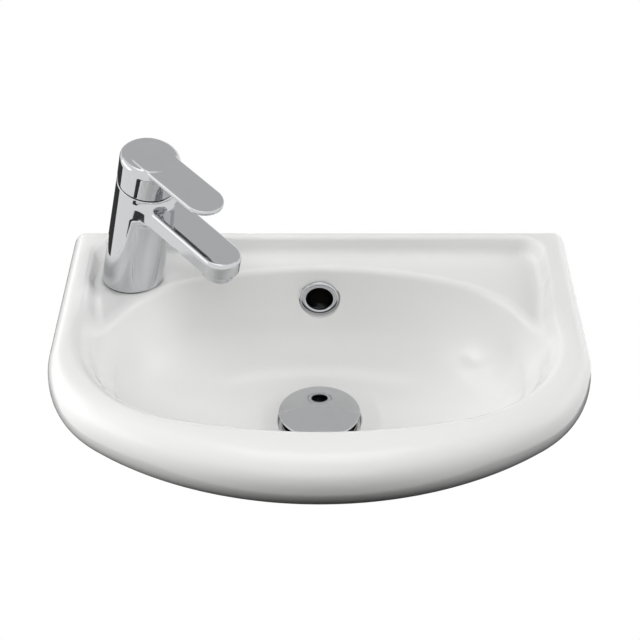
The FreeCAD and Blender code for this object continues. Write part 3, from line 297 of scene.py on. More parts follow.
class ChinaField:
    """Distance to the glazed china; x to the right, run out from the wall, level up from the rim's top."""

    def __init__(self, sizes):
        for key in sizes.__annotations__:
            setattr(self, key, getattr(sizes, key) / MM)
        self.half = self.width / 2
        self.bearing = np.linspace(-math.pi, math.pi, BEARINGS + 1)
        self.mouth = self.reach_to(self.bowl_half, self.bowl_front)
        self.edge = self.reach_to(self.bowl_half - self.bowl_flare, self.bowl_front - FLARE_FRONT)
        front = self.reach_to(self.bowl_half - self.bowl_wall, self.bowl_front - FLARE_FRONT)
        ahead = (np.cos(self.bearing) - BULGE_START) / (BULGE_FULL - BULGE_START)
        self.bulge = (front - self.edge) * ease(ahead)

    def reach_to(self, half, front):
        """Distance from the waste's axis to an oval on each bearing, by stepping to the oval."""
        reach = np.full(self.bearing.shape, half)
        waist = self.bowl_waist
        for step in range(REACH_STEPS):
            x = np.abs(reach * np.sin(self.bearing))
            run = self.waste_run + reach * np.cos(self.bearing)
            ahead = nose_distance(x, run - waist, half, front - waist, BOWL_FRONT_SHARE)[0]
            astern = nose_distance(x, waist - run, half, waist - self.bowl_rear, BOWL_REAR_SHARE)[0]
            reach = reach - np.where(run > waist, ahead, astern)
        return reach

    def bowl(self, x, run, level):
        """Oval bowl that flares out from the deck's level to its mouth at the rim."""
        ahead = run - self.waste_run
        spread = np.hypot(x, ahead)
        bearing = np.arctan2(x, ahead)
        edge = np.interp(bearing, self.bearing, self.edge)
        bulge = np.interp(bearing, self.bearing, self.bulge)
        flare = np.interp(bearing, self.bearing, self.mouth) - edge - bulge
        rise = 1 + level / self.deck_drop
        bend = np.clip((rise + FLARE_BEND) / (2 * FLARE_BEND), 0, 1)
        lift = np.minimum(np.where(bend < 1, FLARE_BEND * bend ** 2, rise), FLARE_MOST)
        sink = np.clip(1 + (level + self.deck_drop) / BULGE_DROP, 0, 1)
        edge = edge + flare * lift + bulge * ease(sink)
        climb = flare * bend / self.deck_drop + bulge * 6 * sink * (1 - sink) / BULGE_DROP
        facing = ahead / np.maximum(spread, TINY)
        full = FULL_SIDE + np.where(facing > 0, FULL_FRONT - FULL_SIDE, FULL_REAR - FULL_SIDE) * facing ** 2
        part = np.maximum(spread / edge, TINY)
        deep = np.maximum(-level, 0) / self.bowl_depth
        value = part ** full + deep ** FULL_DEEP - 1
        outward = full * part ** (full - 1) / edge
        downward = FULL_DEEP * deep ** (FULL_DEEP - 1) / self.bowl_depth + outward * part * climb
        return value / np.maximum(np.hypot(outward, downward), STEEP_LEAST)

    def rim(self, x, run, level):
        outside, forward = nose_distance(x, run - self.side_run, self.half,
                                         self.depth - self.side_run, FRONT_SHARE)
        share = forward ** 2
        roll = self.roll_side + (self.roll_front - self.roll_side) * share
        tuck = self.tuck_side + (self.tuck_front - self.tuck_side) * share
        above = quarter(-outside, roll, level + self.roll_drop, self.roll_drop, ROLL_POWER)
        below = quarter(-outside, tuck, -self.roll_drop - level, self.tuck_drop, TUCK_POWER)
        return np.where(level > -self.roll_drop, above, below)

    def deck(self, x, run, level):
        """Sunken deck with drafted walls, open to the bowl."""
        back = DECK_BACK + DECK_BACK_DRAFT * np.clip(-level / self.deck_drop, 0, 1)
        draft = DECK_DRAFT + DECK_TAPER * np.maximum(run - self.deck_straight, 0)
        side = self.deck_half + draft * (level / self.deck_drop - DECK_BIAS)
        plan = corner(x - (side - DECK_CORNER), back + DECK_CORNER - run) - DECK_CORNER
        plan = np.maximum(plan, run - DECK_END)
        return meet(plan, -self.deck_drop - level, DECK_ROUND)

    def back(self, x, run, level):
        """Plate for the wall fixings, keel round the overflow's channel, boss round the waste."""
        plate = corner(x - PLATE_HALF, np.abs(level + PLATE_DROP) - PLATE_RISE) - PLATE_CORNER
        plate = meet(plate, between(run, -PAST_WALL, PLATE_THICK), PLATE_ROUND)
        fall = (self.bowl_depth - KEEL_DROP) / (self.waste_run - self.bowl_rear)
        under = (level + KEEL_DROP + (run - self.bowl_rear) * fall) / math.hypot(1, fall)
        ends = between(run, -PAST_WALL, self.waste_run)
        keel = meet(x - KEEL_HALF, np.maximum(ends, np.maximum(-FOOT_DROP - level, under)), KEEL_ROUND)
        boss = np.hypot(x, run - self.waste_run) - BOSS_RADIUS
        boss = meet(boss, between(level, -FOOT_DROP, -BOSS_DROP), BOSS_ROUND)
        return join(join(plate, keel, KEEL_FILLET), boss, BOSS_FILLET)

    def hollow(self, x, run, level, skin):
        """Space under the deck on each side, behind the bowl's wall."""
        sides, ends = between(x, KEEL_HALF, HOLLOW_HALF), between(run, PLATE_THICK, HOLLOW_FRONT)
        plan = meet(sides, ends, HOLLOW_CORNER)
        return meet(meet(plan, level + self.deck_drop + DECK_THICK, HOLLOW_ROUND), -skin, HOLLOW_FILLET)

    def __call__(self, points):
        x, run, level = np.abs(points[:, 0]), -points[:, 1], points[:, 2] - self.rim_height
        bowl = self.bowl(x, run, level)
        skin = bowl - self.wall
        solid = join(self.rim(x, run, level), np.maximum(skin, level + SKIN_DROP), SKIN_FILLET)
        solid = cut(solid, self.hollow(x, run, level, bowl - HOLLOW_WALL), HOLLOW_EDGE)
        solid = join(solid, self.back(x, run, level), BACK_FILLET)
        solid = meet(solid, -run, BACK_EDGE)
        solid = cut(solid, self.deck(x, run, level), DECK_EDGE)
        share = np.clip((-level - LIP_DROP) / LIP_SPAN, 0, 1)
        solid = cut(solid, bowl, self.lip_round + (self.ridge_round - self.lip_round) * share)
        return bored(solid, self.holes(points[:, 0], x, run, level))

    def holes(self, left, x, run, level):
        """Overflow with its channel, waste hole with its recess, tap hole and wall fixings."""
        bore = np.hypot(x, level + OVERFLOW_DROP)
        shaft = np.maximum(between(run, DUCT_BACK, DUCT_FRONT), between(level, -DUCT_FLOOR, -DUCT_TOP))
        duct = np.maximum(between(run, DUCT_BACK, self.waste_run), between(level, -DUCT_FLOOR, -DUCT_ROOF))
        waste = np.hypot(x, run - self.waste_run)
        floor = -self.bowl_depth
        tap = np.hypot(left - TAP_FOOT[0], run + TAP_FOOT[1])
        fixing = np.hypot(x - FIXING_HALF, level + self.rim_height)
        return (
            (bore - OVERFLOW_SEAT, between(run, OVERFLOW_RUN, self.waste_run), 0.9),
            (bore - OVERFLOW_BORE, between(run, PLATE_THICK, OVERFLOW_END), 0.5),
            (np.minimum(shaft, duct), x - DUCT_HALF, 0.5),
            (waste - RECESS_RADIUS, between(level, floor - RECESS_DEEP, floor + RECESS_CLEAR), 1.2),
            (waste - WASTE_BORE, between(level, floor - WASTE_DEEP, floor), 0.8),
            (tap - TAP_HOLE, between(level, -TAP_HOLE_DROP, 0), 1.0),
            (fixing - FIXING_RADIUS, run - FIXING_DEEP, 0.8),
        )


def tongue(along, across, high, reach, half, thick, top_edge, under_edge):
    """Flat tongue from the axis with a round tip; high is measured from its top face."""
    outline = np.hypot(along - np.clip(along, 0, reach - half), across) - half
    return meet(meet(outline, high, top_edge), -thick - high, under_edge)


def tilted(x, z, level, rise):
    """Coordinates along and above a plane through the axis at that level, rising outwards."""
    c, s = math.cos(rise), math.sin(rise)
    return x * c + (z - level) * s, (z - level) * c - x * s


class TapField:
    """A field in the tap's own frame: Z up its axis, X towards the spout; sizes in millimetres."""
    angles = ("lean", "turn", "spout_rise", "lever_rise")

    def __init__(self, sizes):
        for key in sizes.__annotations__:
            setattr(self, key, getattr(sizes, key) / (1 if key in self.angles else MM))


class TapBodyField(TapField):
    """Leaning cylinder with a flat spout."""
    top_edge, foot_edge, spout_fillet, spout_edge, spout_under = 0.7, 0.8, 7.0, 3.0, 1.6
    aerator_bore, aerator_deep = 11, 7
    channel_from, channel_past, channel_half, channel_low, channel_high = 14, 5, 5, -10, -4
    nut_bore, nut_floor, cartridge_bore, cartridge_floor = 19.4, 91.9, 17.6, 64.4
    inlet_ahead, inlet_aside, inlet_radius, inlet_deep = 4, 8.5, 5, 14
    stud_behind, stud_radius, stud_deep = 9, 4.1, 12.2

    def __call__(self, points):
        x, y, z = points.T
        spread = np.hypot(x, y)
        radius = self.foot_radius + (self.top_radius - self.foot_radius) * z / self.body_top
        shaft = meet(spread - radius, z - self.body_top, self.top_edge)
        along, high = tilted(x, z, self.spout_level, self.spout_rise)
        spout = tongue(along, y, high, self.spout_reach, self.spout_half, self.spout_thick,
                       self.spout_edge, self.spout_under)
        level_x, level_z = tilted(x, z, 0, self.lean)
        solid = meet(join(shaft, spout, self.spout_fillet), -level_z, self.foot_edge)
        end = self.spout_reach - self.spout_half
        tip = np.hypot(along - end, y) - self.aerator_bore
        under = -self.spout_thick
        channel = np.maximum(between(along, self.channel_from, end + self.channel_past),
                             np.abs(y) - self.channel_half)
        inlet = np.hypot(level_x - self.inlet_ahead, np.abs(y) - self.inlet_aside) - self.inlet_radius
        stud = np.hypot(level_x + self.stud_behind, y) - self.stud_radius
        return bored(solid, (
            (tip, between(high, under - 5, under + self.aerator_deep), 0.3),
            (channel, between(high, self.channel_low, self.channel_high), 0.3),
            (spread - self.nut_bore, self.nut_floor - z, 0.4),
            (spread - self.cartridge_bore, self.cartridge_floor - z, 0.4),
            (inlet, level_z - self.inlet_deep, 0.4),
            (stud, level_z - self.stud_deep, 0.3),
        ))


class HandleField(TapField):
    """Collar with a sloping top and a flat lever."""
    collar_foot, foot_edge, lever_fillet, lever_edge = 102.7, 0.6, 1.2, 1.3
    bore, bore_top, hub, hub_foot, socket, socket_top = 20.5, 122.5, 7.5, 107, 4.05, 121.7
    # The foot is cut back behind so that the collar clears the body when the lever lifts
    pivot, lift, relief_level, relief_edge = 96, math.radians(18), 101.9, 0.5
    grub_level, grub_radius, grub_end = 115, 2.5, -4

    def __call__(self, points):
        x, y, z = points.T
        spread = np.hypot(x, y)
        along, high = tilted(x, z, self.lever_level, self.lever_rise)
        rounding = self.collar_round * (1 + 0.5 * np.clip(x / 20, -1, 1))
        collar = meet(spread - self.collar_radius, high, rounding)
        lever = tongue(along, y, high, self.lever_reach, self.lever_half, self.lever_thick,
                       self.lever_edge, self.lever_edge)
        solid = meet(join(collar, lever, self.lever_fillet), self.collar_foot - z, self.foot_edge)
        hub = np.maximum(spread - self.hub, self.hub_foot - z)
        solid = cut(solid, cut(np.maximum(spread - self.bore, z - self.bore_top), hub, 0.3), 0.3)
        square = np.maximum(np.abs(x), np.abs(y)) - self.socket
        solid = cut(solid, np.maximum(square, z - self.socket_top), 0.2)
        rise = self.relief_level - self.pivot
        relief = (self.pivot - z) * math.cos(self.lift) + rise - x * math.sin(self.lift)
        solid = meet(solid, relief, self.relief_edge)
        grub = np.hypot(y, z - self.grub_level) - self.grub_radius
        return cut(solid, np.maximum(grub, x - self.grub_end), 0.3)


# Meshes from fields

# Step in millimetres for slopes; the turn past which an edge is halved, and how often that is done
NUDGE = 0.03
BEND, ROUNDS = math.radians(11), 2


def slope(field, points):
    """Unit normals of a field, and the field's steepness."""
    parts = []
    for axis in range(3):
        shift = np.zeros(3)
        shift[axis] = NUDGE
        parts.append((field(points + shift) - field(points - shift)) / (2 * NUDGE))
    gradient = np.stack(parts, axis=1)
    steep = np.maximum(np.linalg.norm(gradient, axis=1), TINY)
    return gradient / steep[:, None], steep


def settle(field, points, most):
    """Points moved on to the field's surface in four steps, none by more than the given length a step."""
    for step in range(4):
        normal, steep = slope(field, points)
        move = np.clip(field(points) / np.maximum(steep, 0.3), -most, most)
        points = points - normal * move[:, None]
    return points


def split_edges(points, faces, normals, shortest):
    """Halve the longer edges along which the surface turns more than BEND; returns points and faces."""
    sides = np.stack([faces, np.roll(faces, -1, axis=1)], axis=2).reshape(-1, 2)
    edges, index = np.unique(np.sort(sides, axis=1), axis=0, return_inverse=True)
    turn = np.einsum("ij,ij->i", normals[edges[:, 0]], normals[edges[:, 1]])
    span = np.linalg.norm(points[edges[:, 0]] - points[edges[:, 1]], axis=1)
    chosen = (turn < math.cos(BEND)) & (span > shortest)
    middle = np.full(len(edges), -1)
    middle[chosen] = len(points) + np.arange(chosen.sum())
    new_points = np.concatenate([points, (points[edges[chosen, 0]] + points[edges[chosen, 1]]) / 2])
    mids = middle[index].reshape(-1, 3)
    count = (mids >= 0).sum(axis=1)
    made = [faces[count == 0]]
    for turn_by in range(3):
        a, b, c = np.roll(faces, -turn_by, axis=1).T
        ab, bc, ca = np.roll(mids, -turn_by, axis=1).T
        one = (count == 1) & (ab >= 0)
        made += [np.stack(row, axis=1)[one] for row in ((ab, b, c), (a, ab, c))]
        two = (count == 2) & (ca < 0)
        made += [np.stack(row, axis=1)[two] for row in ((ab, b, bc), (a, ab, bc), (a, bc, c))]
    three = count == 3
    a, b, c = faces.T
    ab, bc, ca = mids.T
    made += [np.stack(row, axis=1)[three] for row in ((a, ab, ca), (ab, b, bc), (ca, bc, c), (ab, bc, ca))]
    return new_points, np.concatenate(made)


def skin_of(field, low, high, cell, shortest):
    """Points, triangles and normals of a field's surface inside a box, all in millimetres."""
    low = np.array(low, float)
    counts = np.ceil((np.array(high) - low) / cell).astype(int) + 1
    values = np.empty(counts, np.float32)
    rows = low[1] + cell * np.arange(counts[1])
    levels = low[2] + cell * np.arange(counts[2])
    ground = np.stack(np.meshgrid(rows, levels, indexing="ij"), axis=-1).reshape(-1, 2)
    for index in range(counts[0]):
        column = np.full((len(ground), 1), low[0] + cell * index)
        values[index] = field(np.hstack([column, ground])).reshape(counts[1], counts[2])
    grid = openvdb.FloatGrid(background=float(cell))
    grid.copyFromArray(values)
    points, quads = grid.convertToQuads(isovalue=0.0)
    points = settle(field, low + cell * points.astype(float), cell / 2)
    quads = quads.astype(np.int64)
    normals = slope(field, points)[0]
    across = np.einsum("ij,ij->i", normals[quads[:, 0]], normals[quads[:, 2]])
    other = np.einsum("ij,ij->i", normals[quads[:, 1]], normals[quads[:, 3]])
    turned = np.where((across >= other)[:, None], quads, np.roll(quads, -1, axis=1))
    faces = np.concatenate([turned[:, [0, 1, 2]], turned[:, [0, 2, 3]]])
    for step in range(ROUNDS):
        points, faces = split_edges(points, faces, normals, shortest)
        points = settle(field, points, cell / 4)
        normals = slope(field, points)[0]
    edge = points[faces]
    facing = np.cross(edge[:, 1] - edge[:, 0], edge[:, 2] - edge[:, 0])
    if np.einsum("ij,ij->i", facing, normals[faces[:, 0]]).sum() < 0:
        faces = faces[:, ::-1]
    return points, faces, normals


def new_piece(name, data):
    piece = bpy.data.objects.new(name, data)
    bpy.context.collection.objects.link(piece)
    return piece


def plain_object(name, points, faces, normals, material):
    """A smooth mesh object at the origin, its place in its points, in metres."""
    mesh = bpy.data.meshes.new(name)
    mesh.from_pydata((points * MM).tolist(), [], faces.tolist())
    mesh.polygons.foreach_set("use_smooth", [True] * len(mesh.polygons))
    mesh.normals_split_custom_set_from_vertices(normals.tolist())
    mesh.materials.append(material)
    return new_piece(name, mesh)


def seat(piece, body, slot, *nodes):
    """The piece rides on that body and stands for those nodes; the slot is not used."""
    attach(piece, body)
    if nodes:
        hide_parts(*nodes)


def tap_turned(sizes):
    """Rotation from the tap's own frame to the row's."""
    return Matrix.Rotation(sizes.turn - math.pi / 2, 3, "Z") @ Matrix.Rotation(sizes.lean, 3, "Y")


def tap_object(name, field, low, high, sizes, material):
    points, faces, normals = skin_of(field, low, high, 1.5, 0.5)
    turn = np.array(tap_turned(sizes))
    return plain_object(name, points @ turn.T + TAP_FOOT, faces, normals @ turn.T, material)


# Materials

def add_node(tree, kind, inputs=None, **settings):
    """A node with its settings; an input that is a socket is linked, any other is set."""
    item = tree.nodes.new(kind)
    for key, value in settings.items():
        setattr(item, key, value)
    for key, value in (inputs or {}).items():
        if isinstance(value, bpy.types.NodeSocket):
            tree.links.new(value, item.inputs[key])
        else:
            item.inputs[key].default_value = value
    return item


def new_material(name):
    material = bpy.data.materials.new(name)
    material.use_nodes = True
    material.node_tree.nodes.clear()
    return material, material.node_tree


def rgba(rgb, share=1.0):
    return (rgb[0] * share, rgb[1] * share, rgb[2] * share, 1.0)


def per_metre(millimetres):
    """Texture scale for features of that size, on coordinates in metres."""
    return 1 / (millimetres * MM)


# Colour sockets of a Mix node, whose names it also gives to other sockets
MIX_A, MIX_B, MIXED = 6, 7, 2


def glazed_china(look):
    """Vitreous china under fired glaze: a white body seen through a thick clear gloss, faintly wavy
    where the glaze flowed; matt warm biscuit where it is wiped off for the wall and the seals.  The
    clay's grit is finer than this; it is drawn coarser so that it shows."""
    material, tree = new_material("white glazed vitreous china")
    place = add_node(tree, "ShaderNodeTexCoord").outputs["Object"]
    cloud = add_node(tree, "ShaderNodeTexNoise", {"Vector": place, "Scale": per_metre(90), "Detail": 2.0})
    white = add_node(tree, "ShaderNodeMix", {
        "Factor": cloud.outputs["Fac"], MIX_A: rgba(look.glaze, 0.985), MIX_B: rgba(look.glaze)},
        data_type="RGBA")
    grit = add_node(tree, "ShaderNodeTexNoise", {"Vector": place, "Scale": per_metre(1.2), "Detail": 4.0})
    clay = add_node(tree, "ShaderNodeMix", {
        "Factor": grit.outputs["Fac"], MIX_A: rgba(look.biscuit, 0.86), MIX_B: rgba(look.biscuit)},
        data_type="RGBA")
    bare = add_node(tree, "ShaderNodeAttribute", attribute_name="bare")
    skin = add_node(tree, "ShaderNodeMix", {
        "Factor": bare.outputs["Fac"], MIX_A: white.outputs[MIXED], MIX_B: clay.outputs[MIXED]},
        data_type="RGBA")
    # Painted shade: the channel's mask mixes the glaze towards the dark throat colour, for the shadow inside
    # the overflow's hole
    throat_shade = add_node(tree, "ShaderNodeAttribute", attribute_name="throat_shade")
    tone = add_node(tree, "ShaderNodeMix", {
        "Factor": throat_shade.outputs["Fac"], MIX_A: skin.outputs[MIXED], MIX_B: rgba(look.throat_shade)},
        data_type="RGBA")
    rough = add_node(tree, "ShaderNodeMapRange", {
        "Value": bare.outputs["Fac"], "To Min": 0.16, "To Max": 0.8})
    flow = add_node(tree, "ShaderNodeTexNoise", {"Vector": place, "Scale": per_metre(14), "Detail": 1.0})
    grain = add_node(tree, "ShaderNodeMath", {0: grit.outputs["Fac"], 1: bare.outputs["Fac"]},
                     operation="MULTIPLY")
    height = add_node(tree, "ShaderNodeMath", {0: flow.outputs["Fac"], 1: grain.outputs["Value"]},
                      operation="ADD")
    bump = add_node(tree, "ShaderNodeBump", {
        "Height": height.outputs["Value"], "Strength": 0.12, "Distance": 0.25 * MM})
    shader = add_node(tree, "ShaderNodeBsdfPrincipled", {
        "Base Color": tone.outputs[MIXED], "Roughness": rough.outputs["Result"], "IOR": 1.5,
        "Coat Weight": 0.6, "Coat Roughness": 0.03, "Coat IOR": 1.5, "Normal": bump.outputs["Normal"]})
    add_node(tree, "ShaderNodeOutputMaterial", {"Surface": shader.outputs["BSDF"]})
    return material


def chrome_plate(look):
    """Chrome plated on polished brass: a mirror, very slightly clouded by wiping, with a faint ripple
    left by the polishing mop."""
    material, tree = new_material("polished chrome plate")
    place = add_node(tree, "ShaderNodeTexCoord").outputs["Object"]
    wipe = add_node(tree, "ShaderNodeTexNoise", {"Vector": place, "Scale": per_metre(11), "Detail": 3.0})
    tint = add_node(tree, "ShaderNodeMix", {
        "Factor": wipe.outputs["Fac"], MIX_A: rgba(look.chrome, 0.96), MIX_B: rgba(look.chrome)},
        data_type="RGBA")
    rough = add_node(tree, "ShaderNodeMapRange", {
        "Value": wipe.outputs["Fac"], "To Min": 0.03, "To Max": 0.075})
    ripple = add_node(tree, "ShaderNodeTexNoise", {"Vector": place, "Scale": per_metre(7), "Detail": 1.0})
    bump = add_node(tree, "ShaderNodeBump", {
        "Height": ripple.outputs["Fac"], "Strength": 0.06, "Distance": 0.1 * MM})
    shader = add_node(tree, "ShaderNodeBsdfPrincipled", {
        "Base Color": tint.outputs[MIXED], "Metallic": 1.0, "Roughness": rough.outputs["Result"],
        "Normal": bump.outputs["Normal"]})
    add_node(tree, "ShaderNodeOutputMaterial", {"Surface": shader.outputs["BSDF"]})
    return material


def machined_metal(name, tone, rough_low, rough_high, groove):
    """Bar metal as it leaves the lathe: fine tool lines along the cut and uneven gloss.  Real lines are
    under 0.1 mm apart; they are drawn wider so that they show."""
    material, tree = new_material(name)
    place = add_node(tree, "ShaderNodeTexCoord").outputs["Object"]
    stretch = 8.0
    drawn = add_node(tree, "ShaderNodeMapping", {"Vector": place, "Scale": (1.0, 1.0, stretch)})
    lines = add_node(tree, "ShaderNodeTexNoise", {
        "Vector": drawn.outputs["Vector"], "Scale": per_metre(groove * stretch), "Detail": 4.0})
    tint = add_node(tree, "ShaderNodeMix", {
        "Factor": lines.outputs["Fac"], MIX_A: rgba(tone, 0.8), MIX_B: rgba(tone)}, data_type="RGBA")
    rough = add_node(tree, "ShaderNodeMapRange", {
        "Value": lines.outputs["Fac"], "To Min": rough_low, "To Max": rough_high})
    bump = add_node(tree, "ShaderNodeBump", {
        "Height": lines.outputs["Fac"], "Strength": 0.2, "Distance": 0.1 * MM})
    shader = add_node(tree, "ShaderNodeBsdfPrincipled", {
        "Base Color": tint.outputs[MIXED], "Metallic": 1.0, "Roughness": rough.outputs["Result"],
        "Normal": bump.outputs["Normal"]})
    add_node(tree, "ShaderNodeOutputMaterial", {"Surface": shader.outputs["BSDF"]})
    return material


def moulded(name, tone, grain, rough_low, rough_high, depth):
    """Pressed or moulded stuff: an even colour with a fine grain from the mould and soft gloss changes.
    The grain is drawn coarser than it is so that it shows."""
    material, tree = new_material(name)
    place = add_node(tree, "ShaderNodeTexCoord").outputs["Object"]
    speck = add_node(tree, "ShaderNodeTexNoise", {"Vector": place, "Scale": per_metre(grain), "Detail": 3.0})
    tint = add_node(tree, "ShaderNodeMix", {
        "Factor": speck.outputs["Fac"], MIX_A: rgba(tone, 0.88), MIX_B: rgba(tone)}, data_type="RGBA")
    rough = add_node(tree, "ShaderNodeMapRange", {
        "Value": speck.outputs["Fac"], "To Min": rough_low, "To Max": rough_high})
    bump = add_node(tree, "ShaderNodeBump", {
        "Height": speck.outputs["Fac"], "Strength": 0.3, "Distance": depth * MM})
    shader = add_node(tree, "ShaderNodeBsdfPrincipled", {
        "Base Color": tint.outputs[MIXED], "Roughness": rough.outputs["Result"],
        "Normal": bump.outputs["Normal"]})
    add_node(tree, "ShaderNodeOutputMaterial", {"Surface": shader.outputs["BSDF"]})
    return material


SLOT_FINISHES = {
    "china": glazed_china,
    "chrome": chrome_plate,
    "brass": lambda look: machined_metal("turned brass", look.brass, 0.22, 0.38, 0.5),
    "steel": lambda look: machined_metal("drawn stainless steel", look.steel, 0.25, 0.42, 0.4),
    "rubber": lambda look: moulded("moulded seal rubber", look.rubber, 0.8, 0.55, 0.75, 0.05),
    "acetal": lambda look: moulded("moulded acetal", look.acetal, 1.5, 0.3, 0.42, 0.02),
    "disc_ceramic": lambda look: moulded("lapped alumina ceramic", look.alumina, 0.6, 0.12, 0.2, 0.01),
}
made_finishes = {}


def finish_of(slot):
    if slot not in made_finishes:
        made_finishes[slot] = SLOT_FINISHES[slot](bpy.context.scene.basin_finishes)
    return made_finishes[slot]


# Geometry node trees

def new_tree(name, inputs):
    """A geometry tree with named inputs; returns it with its group input."""
    tree = bpy.data.node_groups.new(name, "GeometryNodeTree")
    for title, kind in inputs:
        tree.interface.new_socket(name=title, in_out="INPUT", socket_type=kind)
    tree.interface.new_socket(name="Geometry", in_out="OUTPUT", socket_type="NodeSocketGeometry")
    return tree, add_node(tree, "NodeGroupInput")


def close_tree(tree, geometry, material):
    real = add_node(tree, "GeometryNodeRealizeInstances", {"Geometry": geometry})
    painted = add_node(tree, "GeometryNodeSetMaterial", {
        "Geometry": real.outputs["Geometry"], "Material": material})
    add_node(tree, "NodeGroupOutput", {"Geometry": painted.outputs["Geometry"]})


def turning_tree():
    """Sweeps the object's own profile curve round a circle: radius on X, level on Y."""
    tree, given = new_tree("Turned piece", [
        ("Profile", "NodeSocketGeometry"), ("Path radius", "NodeSocketFloat"),
        ("Segments", "NodeSocketInt"), ("Finish", "NodeSocketMaterial")])
    path = add_node(tree, "GeometryNodeCurvePrimitiveCircle", {
        "Resolution": given.outputs["Segments"], "Radius": given.outputs["Path radius"]})
    swept = add_node(tree, "GeometryNodeCurveToMesh", {
        "Curve": path.outputs["Curve"], "Profile Curve": given.outputs["Profile"]})
    closed = add_node(tree, "GeometryNodeMergeByDistance", {
        "Geometry": swept.outputs["Mesh"], "Distance": 2e-6})
    smooth = add_node(tree, "GeometryNodeSetShadeSmooth", {"Geometry": closed.outputs["Geometry"]})
    close_tree(tree, smooth.outputs["Geometry"], given.outputs["Finish"])
    return tree


def coil_tree():
    """A screw thread's ridge or a spring's wire: a profile with that many sides swept up a spiral."""
    tree, given = new_tree("Coil", [
        ("Geometry", "NodeSocketGeometry"), ("Radius", "NodeSocketFloat"), ("Length", "NodeSocketFloat"),
        ("Pitch", "NodeSocketFloat"), ("Ridge", "NodeSocketFloat"), ("Sides", "NodeSocketInt"),
        ("Finish", "NodeSocketMaterial")])
    turns = add_node(tree, "ShaderNodeMath", {0: given.outputs["Length"], 1: given.outputs["Pitch"]},
                     operation="DIVIDE")
    spiral = add_node(tree, "GeometryNodeCurveSpiral", {
        "Resolution": 40, "Rotations": turns.outputs["Value"], "Start Radius": given.outputs["Radius"],
        "End Radius": given.outputs["Radius"], "Height": given.outputs["Length"]})
    ridge = add_node(tree, "GeometryNodeCurvePrimitiveCircle", {
        "Resolution": given.outputs["Sides"], "Radius": given.outputs["Ridge"]})
    swept = add_node(tree, "GeometryNodeCurveToMesh", {
        "Curve": spiral.outputs["Curve"], "Profile Curve": ridge.outputs["Curve"], "Fill Caps": True})
    close_tree(tree, swept.outputs["Mesh"], given.outputs["Finish"])
    return tree


def grown(name, tree, base, values):
    """Runs the tree on the base data and returns the plain mesh it makes."""
    holder = new_piece(name + "_base", base)
    modifier = holder.modifiers.new("tree", "NODES")
    modifier.node_group = tree
    for item in tree.interface.items_tree:
        if item.in_out == "INPUT" and item.name in values:
            modifier[item.identifier] = values[item.name]
    holder.update_tag()
    ready = holder.evaluated_get(bpy.context.evaluated_depsgraph_get())
    mesh = bpy.data.meshes.new_from_object(ready)
    mesh.name = name
    bpy.data.objects.remove(holder)
    bpy.data.node_groups.remove(tree)
    return mesh


def tidy_mesh(mesh, place):
    """Merges doubles, turns faces outwards and puts the mesh in its place."""
    work = bmesh.new()
    work.from_mesh(mesh)
    bmesh.ops.remove_doubles(work, verts=work.verts, dist=1e-6)
    stray = [edge for edge in work.edges if not edge.link_faces]
    bmesh.ops.delete(work, geom=stray, context="EDGES")
    bmesh.ops.recalc_face_normals(work, faces=work.faces)
    work.to_mesh(mesh)
    work.free()
    mesh.transform(place)


def rounded_profile(corners, steps=8):
    """Closed outline from corners of (radius, level, rounding), each rounding an arc of that radius."""
    outline = []
    count = len(corners)
    for index, (x, y, rounding) in enumerate(corners):
        corner = np.array([x, y], float)
        if rounding == 0:
            outline.append(corner)
            continue
        to = [np.array(corners[(index + step) % count][:2], float) - corner for step in (-1, 1)]
        to = [leg / np.linalg.norm(leg) for leg in to]
        half = math.acos(np.clip(to[0] @ to[1], -1, 1)) / 2
        bisector = (to[0] + to[1]) / np.linalg.norm(to[0] + to[1])
        centre = corner + bisector * rounding / math.sin(half)
        ends = [corner + leg * rounding / math.tan(half) - centre for leg in to]
        for step in range(steps + 1):
            share = step / steps
            swing = math.pi - 2 * half
            shares = [math.sin(part * swing) / math.sin(swing) for part in (1 - share, share)]
            outline.append(centre + shares[0] * ends[0] + shares[1] * ends[1])
    return outline


def turned_piece(name, outline, place, slot):
    """A turned piece from its closed outline of (radius, level) in millimetres."""
    sizes = bpy.context.scene.basin_trim
    path = 10.0
    curve = bpy.data.curves.new(name, "CURVE")
    curve.dimensions = "2D"
    spline = curve.splines.new("POLY")
    spline.points.add(len(outline) - 1)
    for point, (radius, level) in zip(spline.points, outline):
        point.co = ((radius - path) * MM, -level * MM, 0, 1)
    spline.use_cyclic_u = True
    mesh = grown(name, turning_tree(), curve, {
        "Path radius": path * MM, "Segments": sizes.segments, "Finish": finish_of(slot)})
    tidy_mesh(mesh, place)
    return new_piece(name, mesh)


# Operators

class BasinOperator:
    bl_options = {"REGISTER"}


# The glaze is wiped off the face at the wall and the foot of the boss
BARE_RUN, BARE_DROP = 1.2, 124.4


class BASIN_OT_china(BasinOperator, bpy.types.Operator):
    """Make the china basin with its rolled rim, deck, bowl and back"""
    bl_idname = "basin.china"
    bl_label = "China basin"

    def execute(self, context):
        field = ChinaField(context.scene.basin_china)
        points, faces, normals = skin_of(field, (-206, -301, -47), (206, 6, 91), 3.6, 1.0)
        piece = plain_object("china_basin", points, faces, normals, finish_of("china"))
        x, run, drop = np.abs(points[:, 0]), -points[:, 1], field.rim_height - points[:, 2]
        bare = np.clip(np.maximum(BARE_RUN - run, drop - BARE_DROP), 0, 1)
        # Painted shade: a mask, fading in over a few millimetres, that darkens the inside of the overflow's
        # channel where little light reaches
        fade = 4
        deep = np.minimum(DUCT_FRONT + 5 - run, run - DUCT_BACK + fade)
        throat_shade = np.clip(np.minimum(deep, DUCT_HALF + 1 - x), 0, fade) / fade
        throat_shade = throat_shade * (drop < DUCT_FLOOR - 1) * (drop > DUCT_TOP - 5)
        for key, share in (("bare", bare), ("throat_shade", throat_shade)):
            mark = piece.data.attributes.new(key, "FLOAT", "POINT")
            mark.data.foreach_set("value", share.astype(np.float32))
        seat(piece, "root", "china", "basin")
        return {"FINISHED"}


